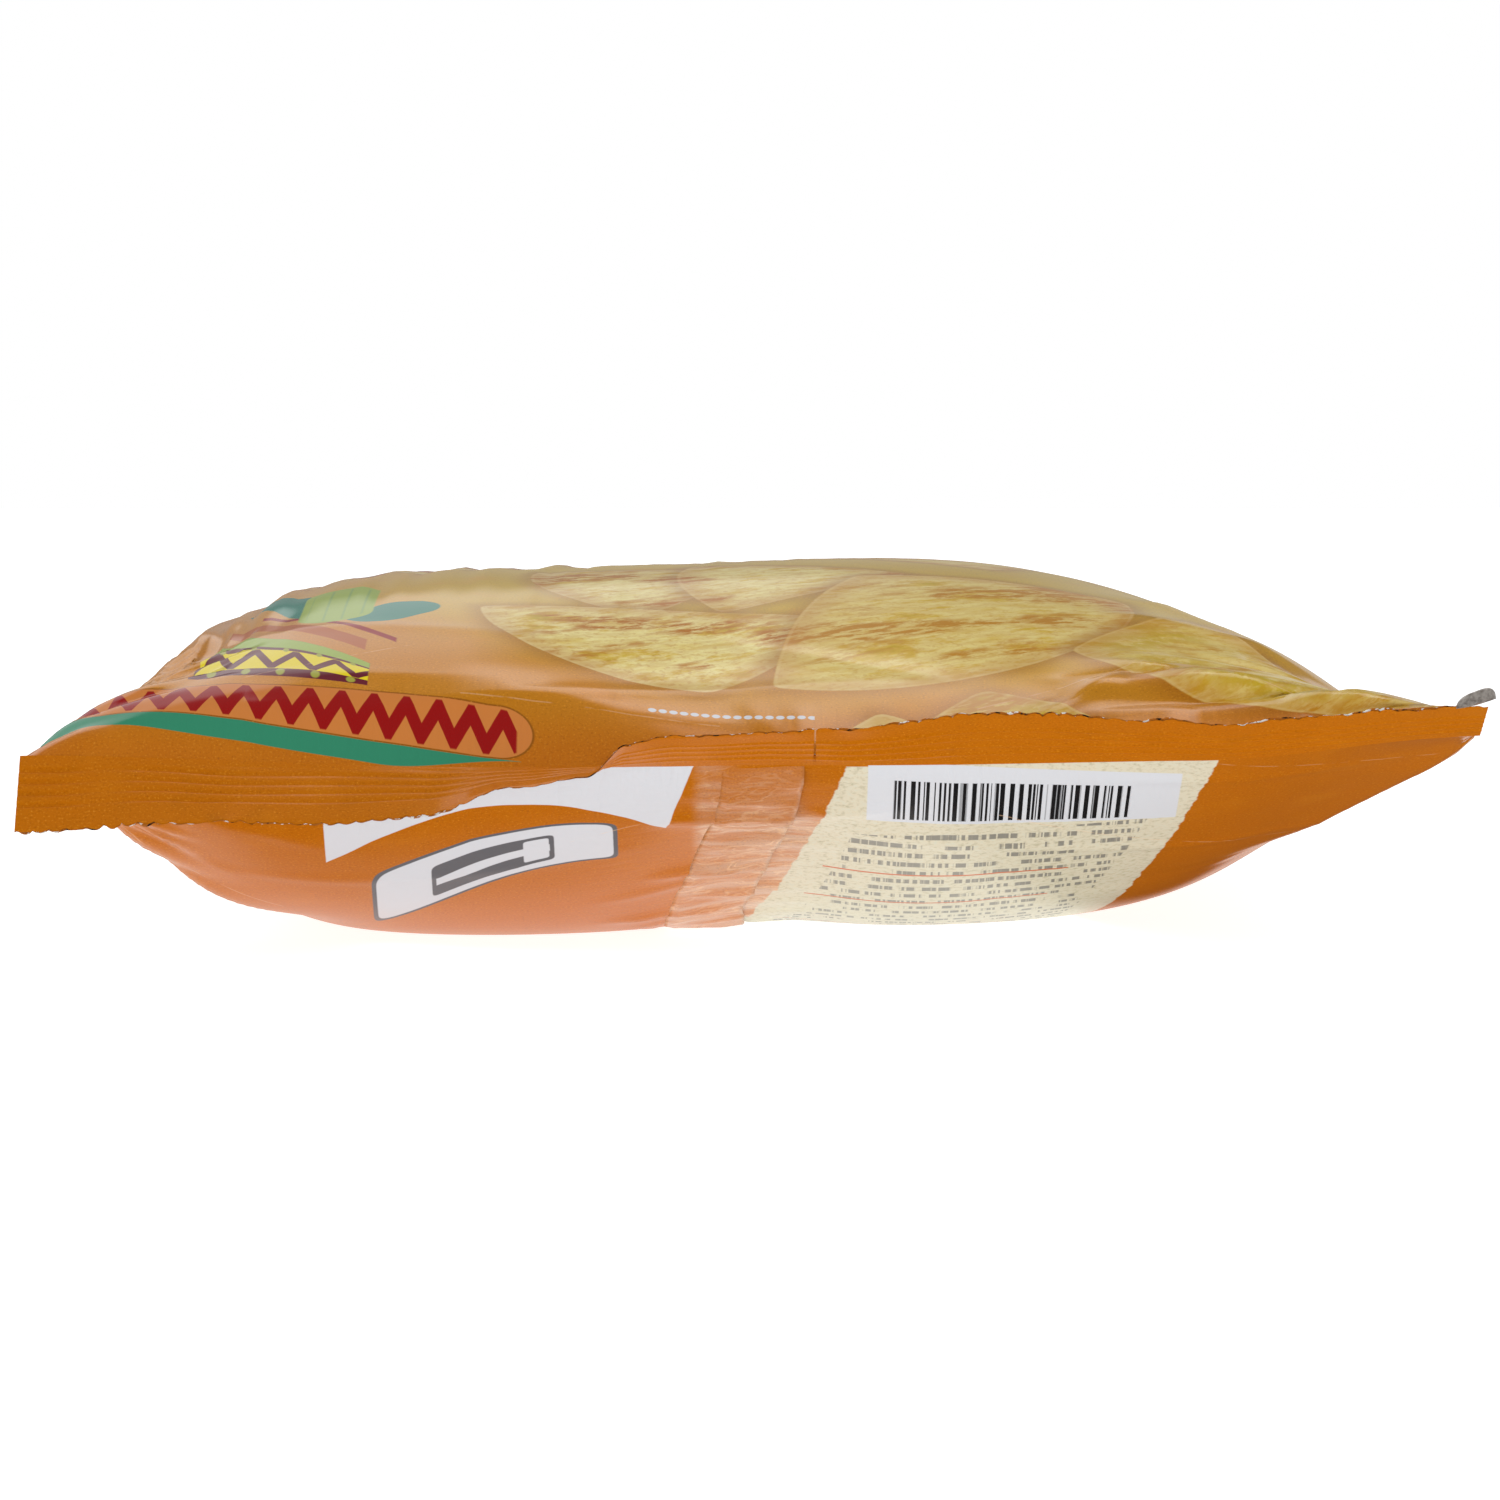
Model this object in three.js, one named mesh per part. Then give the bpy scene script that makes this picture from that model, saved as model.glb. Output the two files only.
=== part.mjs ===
// A pillow bag of tortilla chips lying on its back: a tube of printed film, pressed shut by a crimped
// seal at each end, full of chips and air. Millimetres, +Z up. X runs across the bag, Y along it, and
// the near seal, at -Y, is the bottom end of the pack. The bag is shut, so it is one solid.
import * as THREE from "three";

// Sizes of the film and its seals
const FLAT_WIDTH = 190; // across the flattened tube
const HALF_WIDTH = FLAT_WIDTH / 2;
const FILM_LENGTH = 256; // along the film, from one seal to the other
const SEAL_WIDTH = 12.5; // strip across each end
const SEAL_THICKNESS = 0.8; // plies of the strip
const CRIMP_PITCH = 2; // from one crimp ridge to the next
const CRIMP_COUNT = 4;
const CRIMP_DEPTH = 0.35;
const TOOTH_HEIGHT = 0.9; // zigzag cut along the free edge
const FIN_WIDTH = 11; // long seam down the back, folded flat
const FIN_RAISE = 0.6;
const FIN_START = 6; // film length over which the seam comes out of the near seal

// Heights of the filled bag above and below its side folds
const FRONT_RISE = 25.4; // crest of the front panel
const BACK_DROP = 28.6; // belly of the back panel, before the floor flattens it
const FLOOR_SOFTNESS = 1.6; // rounding where the belly meets the floor

// Slope of each panel where it leaves a seal, in degrees, and the film it takes to level off on the
// left and on the right
const FRONT_SLOPES = {
  near: { start: 33, crests: [108, 115] },
  far: { start: 34, crests: [100, 118] },
};
const BACK_SLOPES = {
  near: { start: 38, crests: [98, 134] },
  far: { start: 38, crests: [108, 96] },
};
const SIDE_BLEND = 60; // from the middle to where the left or the right holds alone
const SLOPE_EASE = 1.25; // power with which a slope levels off

// Facets beside the seals, where the film stands up steeply from the seal and then breaks over a
// crease: panel (1 front, -1 back), end (-1 near, 1 far), the columns where the facet is whole and
// where it ends, the height it adds beside the seal, and its slope in degrees
const FACETS = [
  { panel: 1, end: -1, full: -40, gone: 0, lift: 6.5, slope: 58 },
  { panel: 1, end: -1, full: 78, gone: 34, lift: 2.5, slope: 50 },
  { panel: -1, end: -1, full: -70, gone: -18, lift: 5, slope: 62 },
  { panel: 1, end: 1, full: 60, gone: 0, lift: 4.5, slope: 54 },
  { panel: -1, end: 1, full: -60, gone: 10, lift: 4, slope: 52 },
];
const CREASE_ROUND = 1.2; // rounding of the crease at the top of a facet

// Shape of the cross-section: the film turns from level at the middle to upright at a fold, and its
// angle grows with this power of the distance from the middle, on the left and on the right
const FRONT_TURN_POWERS = [4, 2];
const BACK_TURN_POWERS = [3.8, 2.4];
const MOST_TURN = 150; // degrees, more than any fold turns

// Groove that the stiff long seam pulls into the belly
const SEAM_PULL = { depth: 3.2, halfWidth: 15, from: 0, whole: 32, fading: 105, to: 165 };

// Stations across the near and far seals, as distance from the middle and the height of the seal's
// base above the floor, or the tilt of the strip in degrees. A negative tilt hangs down.
const NEAR_BASE = [[-95, 26.4], [-40, 25.2], [10, 26], [58, 26.6], [95, 29.7]];
const FAR_BASE = [[-95, 26.5], [-30, 23], [35, 25.5], [95, 22.5]];
const NEAR_TILT = [
  [-95, -44], [-45, -37], [-25, -12], [-17, 2], [-9, 19], [10, 24], [39, 32], [64, 21], [95, 18],
];
const FAR_TILT = [[-95, -14], [-30, 10], [40, -18], [95, 8]];

// Lift of the side folds between the seals, and the film over which they take it up
const FOLD_LIFT = [[-95, 3], [-70, 0], [70, 0], [95, -2.5]];
const FOLD_SETTLE = 45;

// Creases: panel (1 front, -1 back), ends as [across, along] on the film, depth and half width.
// A positive depth stands out of the bag.
const CREASES = [
  [1, [-60, 6], [20, 22], 0.9, 7],
  [1, [30, 4], [62, 34], -1.3, 7],
  [1, [62, 2], [84, 40], 1.4, 8],
  [1, [-12, 3], [-4, 60], -1.2, 9],
  [1, [-88, 4], [-62, 50], 1.5, 8],
  [1, [-70, 256], [-50, 215], 1.3, 8],
  [1, [-20, 256], [-6, 205], -1.4, 9],
  [1, [40, 256], [34, 214], 1.4, 8],
  [1, [80, 256], [60, 226], -1.3, 8],
  [-1, [-89, 4], [-55, 34], 1.6, 8],
  [-1, [-30, 2], [-10, 46], -1.4, 9],
  [-1, [26, 2], [16, 50], -1.2, 9],
  [-1, [89, 4], [58, 40], 1.5, 8],
  [-1, [-60, 256], [-40, 215], -1.3, 8],
  [-1, [50, 256], [40, 215], 1.4, 8],
];
const CREASE_ENDS = [-0.15, 0.2, 0.6, 1.15]; // a crease grows and fades at these shares of its length
const CREASE_MARGIN = 8; // film length beside a seal over which creases and dents fade in

// Dents that the spare film makes along the side folds: side, place along the film, depth, half width
const SIDE_DENTS = [
  [-1, 34, 1.2, 8],
  [-1, 88, 1.2, 11],
  [-1, 152, 3.4, 10],
  [-1, 214, 3.0, 8],
  [1, 40, 1.8, 8],
  [1, 112, 2.6, 11],
  [1, 168, 2.2, 9],
  [1, 222, 3.2, 8],
];
const DENT_INNER = 0.55; // share of the half width at which a dent starts

// Fineness of the mesh and of the sums along the film
const COLUMNS = 48; // cells across each panel
const BODY_ROWS = 30; // cells along the body
const ROW_CROWDING = 0.55; // 0 spaces the rows evenly, more brings them together at the seals
const SECTION_STEPS = 2 * COLUMNS; // from the middle to a fold, a whole number to each column
const LENGTH_STEPS = 2 * FILM_LENGTH;
const FILM_STEP = FILM_LENGTH / LENGTH_STEPS;
const HALVINGS = 40; // rounds of the search for a section of a given height
const RUN_COLUMN = 20; // column whose climb sets how far the body reaches
const LEAST_RISE = 1e-3;
const PLY_CLOSING = 8; // power with which the two plies come together at a side edge

const radians = THREE.MathUtils.degToRad;
const smoothstep = THREE.MathUtils.smoothstep;
const lerp = THREE.MathUtils.lerp;

// Value between stations, eased from each to the next.
function along(stations, place) {
  let last = stations[0];
  for (const next of stations.slice(1)) {
    if (place <= next[0]) {
      return lerp(last[1], next[1], smoothstep(place, last[0], next[0]));
    }
    last = next;
  }
  return last[1];
}

// Rise of a panel by distance from its seal: the sum of the sines of a slope that is steepest at the
// seal and level at the crest. Returned as a function from 0 to 1.
function riseCurve(start, crest) {
  const rises = [0];
  for (let k = 0; k < LENGTH_STEPS; k++) {
    const left = Math.max(0, 1 - ((k + 0.5) * FILM_STEP) / crest);
    rises.push(rises[k] + Math.sin(radians(start) * left ** SLOPE_EASE) * FILM_STEP);
  }
  const top = rises[LENGTH_STEPS];
  return (d) => {
    const k = Math.min(LENGTH_STEPS - 1, Math.max(0, Math.floor(d / FILM_STEP)));
    return lerp(rises[k], rises[k + 1], d / FILM_STEP - k) / top;
  };
}

// The left and right curves of one end, blended over the middle of the panel.
function riseAcross({ start, crests }) {
  const [left, right] = crests.map((crest) => riseCurve(start, crest));
  return (a, d) => lerp(left(d), right(d), smoothstep(a, -SIDE_BLEND, SIDE_BLEND));
}

// The lower of two heights, with the edge between them rounded.
function lowerOf(p, q) {
  return (p + q - Math.hypot(p - q, CREASE_ROUND)) / 2;
}

const PANEL_RISES = new Map([
  [1, { top: FRONT_RISE, near: riseAcross(FRONT_SLOPES.near), far: riseAcross(FRONT_SLOPES.far) }],
  [-1, { top: BACK_DROP, near: riseAcross(BACK_SLOPES.near), far: riseAcross(BACK_SLOPES.far) }],
]);

// How far a panel stands off the folds at column `a` and film length d before its facets are cut:
// the filled body, lifted beside each seal where there is a facet.
function fullRise(panel, a, d) {
  const { top, near, far } = PANEL_RISES.get(panel);
  const nearShare = near(a, d);
  const farShare = far(a, FILM_LENGTH - d);
  let height = top * nearShare * farShare;
  for (const facet of FACETS) {
    if (facet.panel !== panel) continue;
    const there = smoothstep((a - facet.gone) / (facet.full - facet.gone), 0, 1);
    height += facet.lift * there * (1 - (facet.end < 0 ? nearShare : farShare));
  }
  return height;
}

// A height cut down to the steep plane of each facet, which leaves a crease along the facet's top.
function cutToFacets(panel, a, d, height) {
  let cut = height;
  for (const facet of FACETS) {
    if (facet.panel !== panel || (a - facet.gone) / (facet.full - facet.gone) <= 0) continue;
    const fromSeal = facet.end < 0 ? d : FILM_LENGTH - d;
    cut = lowerOf(fromSeal * Math.sin(radians(facet.slope)), cut);
  }
  return Math.max(cut, 0);
}

// Height of the middle of a panel off the folds.
function rise(panel, a, d) {
  return Math.max(cutToFacets(panel, a, d, fullRise(panel, a, d)), LEAST_RISE);
}

// Half section of a panel whose film turns by `turn` at the fold: for each step from the middle to
// the fold, the distance across and the height above the fold, both sums along the film.
function halfSection(turn, power) {
  const step = HALF_WIDTH / SECTION_STEPS;
  const across = [0];
  const climbs = [0];
  for (let k = 0; k < SECTION_STEPS; k++) {
    const angle = turn * ((k + 0.5) / SECTION_STEPS) ** power;
    across.push(across[k] + Math.cos(angle) * step);
    climbs.push(climbs[k] + Math.sin(angle) * step);
  }
  const top = climbs[SECTION_STEPS];
  return { across, heights: climbs.map((c) => top - c), top };
}

// The half section whose height at the middle is `height`, found by halving the range of the turn.
function sectionOfRise(height, power) {
  let low = 0;
  let high = radians(MOST_TURN);
  for (let k = 0; k < HALVINGS; k++) {
    const middle = (low + high) / 2;
    if (halfSection(middle, power).top < height) low = middle;
    else high = middle;
  }
  return halfSection((low + high) / 2, power);
}

// Distance along the bag by film length: the film that climbs doesn't run forwards.
function runTable() {
  const runs = [0];
  for (let k = 0; k < LENGTH_STEPS; k++) {
    const climb = rise(1, RUN_COLUMN, (k + 1) * FILM_STEP) - rise(1, RUN_COLUMN, k * FILM_STEP);
    runs.push(runs[k] + Math.sqrt(Math.max(0, FILM_STEP ** 2 - climb ** 2)));
  }
  return runs;
}
const RUNS = runTable();
const BODY_LENGTH = RUNS[LENGTH_STEPS];

function runAt(d) {
  const k = Math.min(LENGTH_STEPS - 1, Math.floor(d / FILM_STEP));
  return lerp(RUNS[k], RUNS[k + 1], d / FILM_STEP - k);
}

// Height of the side folds, and of the line between them: from one seal's base to the other's, with
// the folds lifted or lowered on the way.
function foldHeight(a, d) {
  const between = lerp(along(NEAR_BASE, a), along(FAR_BASE, a), smoothstep(d, 0, FILM_LENGTH));
  return between + along(FOLD_LIFT, a) * awayFromSeals(d, FOLD_SETTLE);
}

// 0 at both seals and 1 between them, `margin` away from each.
function awayFromSeals(d, margin) {
  return smoothstep(d, 0, margin) * (1 - smoothstep(d, FILM_LENGTH - margin, FILM_LENGTH));
}

// How far along a crease a point of the film is, as a share of its length, and how far off it.
function toCrease(a, d, from, to) {
  const length = Math.hypot(to[0] - from[0], to[1] - from[1]);
  const ux = (to[0] - from[0]) / length;
  const uy = (to[1] - from[1]) / length;
  const share = ((a - from[0]) * ux + (d - from[1]) * uy) / length;
  const off = Math.abs((a - from[0]) * uy - (d - from[1]) * ux);
  return { share, off };
}

// Push of all creases at a point of the film: each falls off sideways and fades at its ends.
function creasePush(side, a, d) {
  const [start, whole, fading, gone] = CREASE_ENDS;
  let push = 0;
  for (const [panel, from, to, depth, halfWidth] of CREASES) {
    if (panel !== side) continue;
    const { share, off } = toCrease(a, d, from, to);
    const ends = smoothstep(share, start, whole) * (1 - smoothstep(share, fading, gone));
    push += depth * ends * Math.exp(-off / halfWidth);
  }
  return push * awayFromSeals(d, CREASE_MARGIN);
}

// How far the side fold is drawn in by its dents.
function foldDent(a, d) {
  const nearFold = smoothstep(Math.abs(a), HALF_WIDTH * DENT_INNER, HALF_WIDTH);
  let dent = 0;
  for (const [side, place, depth, halfWidth] of SIDE_DENTS) {
    if (side * a < 0) continue;
    dent += depth * nearFold * Math.exp(-Math.abs(d - place) / halfWidth);
  }
  return dent * awayFromSeals(d, CREASE_MARGIN);
}

// A belly that the floor pushes flat: below the floor it becomes the floor, with a rounded rim.
function aboveFloor(z) {
  const soft = (z + Math.hypot(z, FLOOR_SOFTNESS)) / 2;
  return Math.max(0, soft - FLOOR_SOFTNESS / 4);
}

// Inward pull of the stiff long seam on the back panel: a groove along the middle.
function seamPull(a, d) {
  const { depth, halfWidth, from, whole, fading, to } = SEAM_PULL;
  const ends = smoothstep(d, from, whole) * (1 - smoothstep(d, fading, to));
  return depth * ends * Math.exp(-((a / halfWidth) ** 2));
}

// How far the folded seam stands proud of the back panel.
function finRaise(a, d) {
  return Math.abs(a) < FIN_WIDTH / 2 ? FIN_RAISE * smoothstep(d, 0, FIN_START) : 0;
}

// Half the thickness of the two plies at share s of the half width.
function halfPlies(s) {
  return (SEAL_THICKNESS / 2) * (1 - Math.abs(s) ** PLY_CLOSING);
}

// The four half sections at film length d, and how far the left and right folds reach out: the mean
// of what the front and the back would reach.
function sectionsAt(d) {
  const half = (panel, side) => {
    const powers = panel > 0 ? FRONT_TURN_POWERS : BACK_TURN_POWERS;
    return sectionOfRise(rise(panel, side * HALF_WIDTH, d), powers[side < 0 ? 0 : 1]);
  };
  const front = [half(1, -1), half(1, 1)];
  const back = [half(-1, -1), half(-1, 1)];
  const reach = [0, 1].map((k) => (front[k].across[SECTION_STEPS] + back[k].across[SECTION_STEPS]) / 2);
  return { front, back, reach };
}

// A ring of points round the bag: the front from left to right, then the back from right to left,
// with the two folds shared. `point` takes the panel and the share s of the half width.
function ringOf(point) {
  const share = (i) => (2 * i) / COLUMNS - 1;
  const ring = [];
  for (let i = 0; i <= COLUMNS; i++) ring.push(point(1, share(i)));
  for (let i = COLUMNS - 1; i > 0; i--) ring.push(point(-1, share(i)));
  return ring;
}

// The ring round the filled body at film length d.
function bodyRing(d) {
  const y = runAt(d) - BODY_LENGTH / 2;
  const sections = sectionsAt(d);
  return ringOf((panel, s) => {
    const a = s * HALF_WIDTH;
    const right = s < 0 ? 0 : 1;
    const half = (panel > 0 ? sections.front : sections.back)[right];
    const k = Math.round(Math.abs(s) * SECTION_STEPS);
    const scale = sections.reach[right] / half.across[SECTION_STEPS];
    const x = Math.sign(s) * (half.across[k] * scale - foldDent(a, d));
    const relief = panel > 0 ? creasePush(1, a, d) : creasePush(-1, a, d) + finRaise(a, d) - seamPull(a, d);
    const push = relief * Math.min(1, half.heights[k] / 2);
    const standing = cutToFacets(panel, a, d, (fullRise(panel, a, d) * half.heights[k]) / half.top);
    const z = foldHeight(a, d) + panel * (standing + push + halfPlies(s));
    return new THREE.Vector3(x, y, panel > 0 ? z : aboveFloor(z));
  });
}

// The way a strip points, as an angle above level.
function stripTilt(end, a) {
  return radians(along(end < 0 ? NEAR_TILT : FAR_TILT, a));
}

// The ring round a seal strip, `reach` out from the body: both plies follow the tilt of the strip
// and ripple together over the crimps.
function sealRing(end, reach) {
  const d = end < 0 ? 0 : FILM_LENGTH;
  const crimped = reach < CRIMP_PITCH * (CRIMP_COUNT + 0.5);
  const ripple = crimped ? CRIMP_DEPTH * Math.sin((2 * Math.PI * reach) / CRIMP_PITCH) : 0;
  return ringOf((panel, s) => {
    const a = s * HALF_WIDTH;
    const tilt = stripTilt(end, a);
    const off = panel * halfPlies(s) + ripple;
    const y = end * (BODY_LENGTH / 2 + reach * Math.cos(tilt) - off * Math.sin(tilt));
    const z = foldHeight(a, d) + reach * Math.sin(tilt) + off * Math.cos(tilt);
    return new THREE.Vector3(a, y, z);
  });
}

// Film lengths of the body rings, closer together at the seals.
function bodyStations() {
  const stations = [];
  for (let j = 1; j < BODY_ROWS; j++) {
    const turn = (2 * Math.PI * j) / BODY_ROWS;
    stations.push((FILM_LENGTH * (turn - ROW_CROWDING * Math.sin(turn))) / (2 * Math.PI));
  }
  return stations;
}

// Distances out from the body of the seal rings: the top and the bottom of each crimp, then one at
// the free edge.
function sealStations() {
  const stations = [0];
  for (let k = 0; k < 2 * CRIMP_COUNT; k++) stations.push((CRIMP_PITCH * (k + 0.5)) / 2);
  stations.push(SEAL_WIDTH);
  return stations;
}

// Closes a free edge with a row of teeth: a low pyramid on each cell of the strip's end. The ring's
// points start at `first`, and `end` says which strip it is.
function addTeeth(points, faces, first, end) {
  const size = 2 * COLUMNS;
  const add = (a, b, c) => faces.push(end > 0 ? [a, c, b] : [a, b, c]);
  for (let i = 0; i < COLUMNS; i++) {
    const top = [first + i, first + i + 1];
    const under = [first + ((size - i) % size), first + size - i - 1];
    const tip = new THREE.Vector3();
    for (const k of [...top, ...under]) tip.addScaledVector(points[k], 1 / 4);
    const tilt = stripTilt(end, tip.x);
    tip.addScaledVector(new THREE.Vector3(0, end * Math.cos(tilt), Math.sin(tilt)), TOOTH_HEIGHT);
    const apex = points.push(tip) - 1;
    add(top[1], top[0], apex);
    add(under[0], under[1], apex);
    if (top[0] !== under[0]) add(top[0], under[0], apex);
    if (top[1] !== under[1]) add(under[1], top[1], apex);
  }
}

// Joins the rings with triangles and closes both free edges.
function loft(rings) {
  const size = rings[0].length;
  const points = rings.flat();
  const faces = [];
  for (let j = 0; j + 1 < rings.length; j++) {
    for (let i = 0; i < size; i++) {
      const next = (i + 1) % size;
      const [p, q, r, s] = [j * size + i, j * size + next, (j + 1) * size + next, (j + 1) * size + i];
      faces.push([p, q, r], [p, r, s]);
    }
  }
  addTeeth(points, faces, 0, -1);
  addTeeth(points, faces, (rings.length - 1) * size, 1);
  return { points, faces };
}

// The bag's surface, moved so that the middle of its floor area is the origin.
function bagGeometry() {
  const near = sealStations().reverse().map((reach) => sealRing(-1, reach));
  const body = bodyStations().map(bodyRing);
  const far = sealStations().map((reach) => sealRing(1, reach));
  const { points, faces } = loft([...near, ...body, ...far]);
  const geometry = new THREE.BufferGeometry().setFromPoints(points);
  geometry.setIndex(faces.flat());
  geometry.computeBoundingBox();
  const { min, max } = geometry.boundingBox;
  geometry.translate(-(min.x + max.x) / 2, -(min.y + max.y) / 2, -min.z);
  geometry.computeVertexNormals();
  return geometry;
}

const film = new THREE.MeshStandardMaterial({ color: 0xc46f10, roughness: 0.35, metalness: 0.1 });

const bag = new THREE.Mesh(bagGeometry(), film);
bag.name = "bag";

const pack = new THREE.Group();
pack.add(bag);

export default pack;
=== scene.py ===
"""A sealed pillow bag of tortilla chips lying on its back: printed film, crimped seals and a folded seam.

Places on the film are a column a across a panel, from -95 to 95, and a length d from the near seal to the
far one. Panel 1 is the front and -1 the back. Lengths are in millimetres until a mesh is made.
"""
from functools import partialmethod

import bpy
import numpy as np
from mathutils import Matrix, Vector


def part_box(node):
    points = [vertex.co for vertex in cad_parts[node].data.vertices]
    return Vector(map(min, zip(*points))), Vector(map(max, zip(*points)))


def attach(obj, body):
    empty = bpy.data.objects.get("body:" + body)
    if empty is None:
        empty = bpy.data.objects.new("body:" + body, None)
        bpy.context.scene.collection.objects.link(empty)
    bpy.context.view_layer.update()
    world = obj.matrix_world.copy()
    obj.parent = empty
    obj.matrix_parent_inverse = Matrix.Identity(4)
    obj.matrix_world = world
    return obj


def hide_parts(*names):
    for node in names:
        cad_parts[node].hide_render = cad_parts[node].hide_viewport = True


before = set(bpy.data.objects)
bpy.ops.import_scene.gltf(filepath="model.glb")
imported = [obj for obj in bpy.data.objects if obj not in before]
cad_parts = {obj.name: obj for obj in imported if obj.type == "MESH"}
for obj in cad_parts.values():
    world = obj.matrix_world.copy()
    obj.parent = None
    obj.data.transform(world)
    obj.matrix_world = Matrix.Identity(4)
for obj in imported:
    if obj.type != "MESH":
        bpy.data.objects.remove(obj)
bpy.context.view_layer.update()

MM = 0.001
SEED = 7

# Sizes of the film and its seals
low_corner, high_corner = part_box("bag")
FLAT_WIDTH = (high_corner.x - low_corner.x) / MM
HALF_WIDTH = FLAT_WIDTH / 2
FILM_LENGTH = 256.0
SEAL_WIDTH = 12.5
PLIES = 0.22
CRIMP_PITCH = 2.0
CRIMP_COUNT = 4
CRIMP_DEPTH = 0.2
TOOTH_PITCH = 2.2
TOOTH_HEIGHT = 0.6
FIN_WIDTH = 11.0
FIN_BED = 0.5
FIN_PLIES = 0.2
FIN_ROWS = 521
FIN_COLUMNS = 15

# Height of each panel, and for its near and far end the slope and how far its left and right crest are
PANEL_SLOPES = {
    1: (25.4, (33, (108, 115)), (34, (100, 118))),
    -1: (28.6, (38, (98, 134)), (38, (108, 96))),
}
FLOOR_SOFTNESS = 1.6
SIDE_BLEND = 60.0
SLOPE_EASE = 1.25

# Facets beside the seals: panel, end, the columns where one is whole and gone, its lift and its slope
FACETS = (
    (1, -1, -40, 0, 6.5, 58),
    (1, -1, 78, 34, 2.5, 50),
    (-1, -1, -70, -18, 5, 62),
    (1, 1, 60, 0, 4.5, 54),
    (-1, 1, -60, 10, 4, 52),
)
CREASE_ROUND = 0.7

# The cross-section's turning, and the groove along the long seam
FRONT_TURN_POWERS = (4.0, 2.0)
BACK_TURN_POWERS = (3.8, 2.4)
MOST_TURN = 150
SEAM_PULL = {"depth": 3.2, "half_width": 15, "start": 0, "whole": 32, "fading": 105, "end": 165}

# Stations across the seals and the folds: place, and height or tilt there
NEAR_BASE = ((-95, 26.4), (-40, 25.2), (10, 26), (58, 26.6), (95, 29.7))
FAR_BASE = ((-95, 26.5), (-30, 23), (35, 25.5), (95, 22.5))
NEAR_TILT = (
    (-95, -44), (-57, -35), (-42, -26), (-31, -13), (-21, -6), (-16, 11), (-9, 18),
    (3, 22), (39, 32), (64, 21), (95, 18),
)
FAR_TILT = ((-95, -14), (-30, 10), (40, -18), (95, 8))
FOLD_LIFT = ((-95, 3), (-70, 0), (70, 0), (95, -2.5))
FOLD_SETTLE = 45.0

# Creases in the film: panel, ends as column and length, height out of the bag and half width
CREASES = (
    (1, (-60, 8), (24, 24), 0.45, 1.6),
    (1, (-76, 22), (-30, 16), 0.35, 1.2),
    (1, (-35, 14), (8, 9), 0.3, 1.1),
    (1, (36, 8), (52, 27), 1.1, 1.6),
    (1, (42, 33), (112, -12), 3.6, 8),
    (1, (60, 22), (78, 2), -0.5, 1.3),
    (1, (46, 58), (82, 54), 1.2, 6),
    (1, (54, 84), (72, 52), 1.2, 7),
    (1, (70, 56), (90, 26), -1.4, 7),
    (1, (-94, 8), (-72, 26), 1.2, 5),
    (1, (-90, 22), (-72, 70), -2.8, 9),
    (-1, (-92, 16), (-58, 58), 3.6, 9),
    (-1, (-78, 70), (-46, 90), -1.2, 10),
    (-1, (97, 10), (66, 70), 2.6, 9),
    (1, (-70, 46), (-20, 30), 0.3, 2.0),
    (1, (-10, 40), (30, 22), -0.3, 2.2),
    (1, (-52, 210), (10, 232), 0.5, 1.8),
    (1, (20, 248), (44, 206), -0.6, 2.2),
    (1, (-80, 236), (-40, 196), 0.6, 2.0),
    (1, (60, 240), (84, 200), 0.6, 2.0),
    (-1, (6, 20), (86, 52), 0.45, 0.9),
    (-1, (40, 6), (92, 15), 0.35, 0.8),
    (-1, (-92, 6), (-66, 34), 0.8, 1.3),
    (-1, (-86, 3), (-50, 20), 0.5, 1.5),
    (-1, (-72, 30), (-8, 24), 0.35, 1.6),
    (-1, (-60, 240), (-20, 206), 0.6, 2.0),
    (-1, (30, 246), (64, 200), 0.6, 2.0),
)
CREASE_GROWS = (-0.05, 0.25, 0.6, 1.05)
CREASE_EDGE = 0.5
SEAL_HOLD = 16

# Where the back is drawn taut: columns and lengths over which it becomes so, and how much
TAUT_COLUMNS = (12, 34)
TAUT_LENGTHS = (105, 60)
TAUT_SHARE = 0.99

# Small wrinkles: how many run off each seal on each panel, and how many cross the long seam
FAN_WRINKLES = 26
SEAM_WRINKLES = 60

# Stages of settling: rounds, hold, swell, bend and the furthest move
SETTLING = (
    (200, 0.02, 0.012, 0.05, 3.5),
    (150, 0.012, 0.004, 0.05, 3.5),
    (100, 0.008, 0.001, 0.05, 3.5),
)

# Fineness of the sums along the film and of the film's grid
SUM_STEPS = 512
TURN_STEPS = 600
COARSE_COLUMNS = 80
COARSE_ROWS = 54
RUN_COLUMN = 20
LEAST_RISE = 1e-3


def smooth(value, start, end):
    """The smooth step: 0 at start, 1 at end, level at both."""
    share = np.clip((value - start) / (end - start), 0, 1)
    return share * share * (3 - 2 * share)


def along(stations, place):
    """Value between stations, eased from each to the next."""
    places, values = np.array(stations, float).T
    last = np.clip(np.searchsorted(places, place) - 1, 0, len(places) - 2)
    share = smooth(place, places[last], places[last + 1])
    return values[last] + (values[last + 1] - values[last]) * share


def rise_curve(start, crest):
    """Height by length: the running sum of the sine of a slope that eases off to the crest."""
    middles = (np.arange(SUM_STEPS) + 0.5) * FILM_LENGTH / SUM_STEPS
    slope = np.radians(start) * np.maximum(0, 1 - middles / crest) ** SLOPE_EASE
    rises = np.concatenate([[0], np.cumsum(np.sin(slope))])
    lengths = np.linspace(0, FILM_LENGTH, SUM_STEPS + 1)
    return lambda d: np.interp(d, lengths, rises / rises[-1])


def rise_across(start, crests):
    """The left and the right curve of one end, blended over the middle."""
    left, right = (rise_curve(start, crest) for crest in crests)
    return lambda a, d: left(d) + (right(d) - left(d)) * smooth(a, -SIDE_BLEND, SIDE_BLEND)


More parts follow.
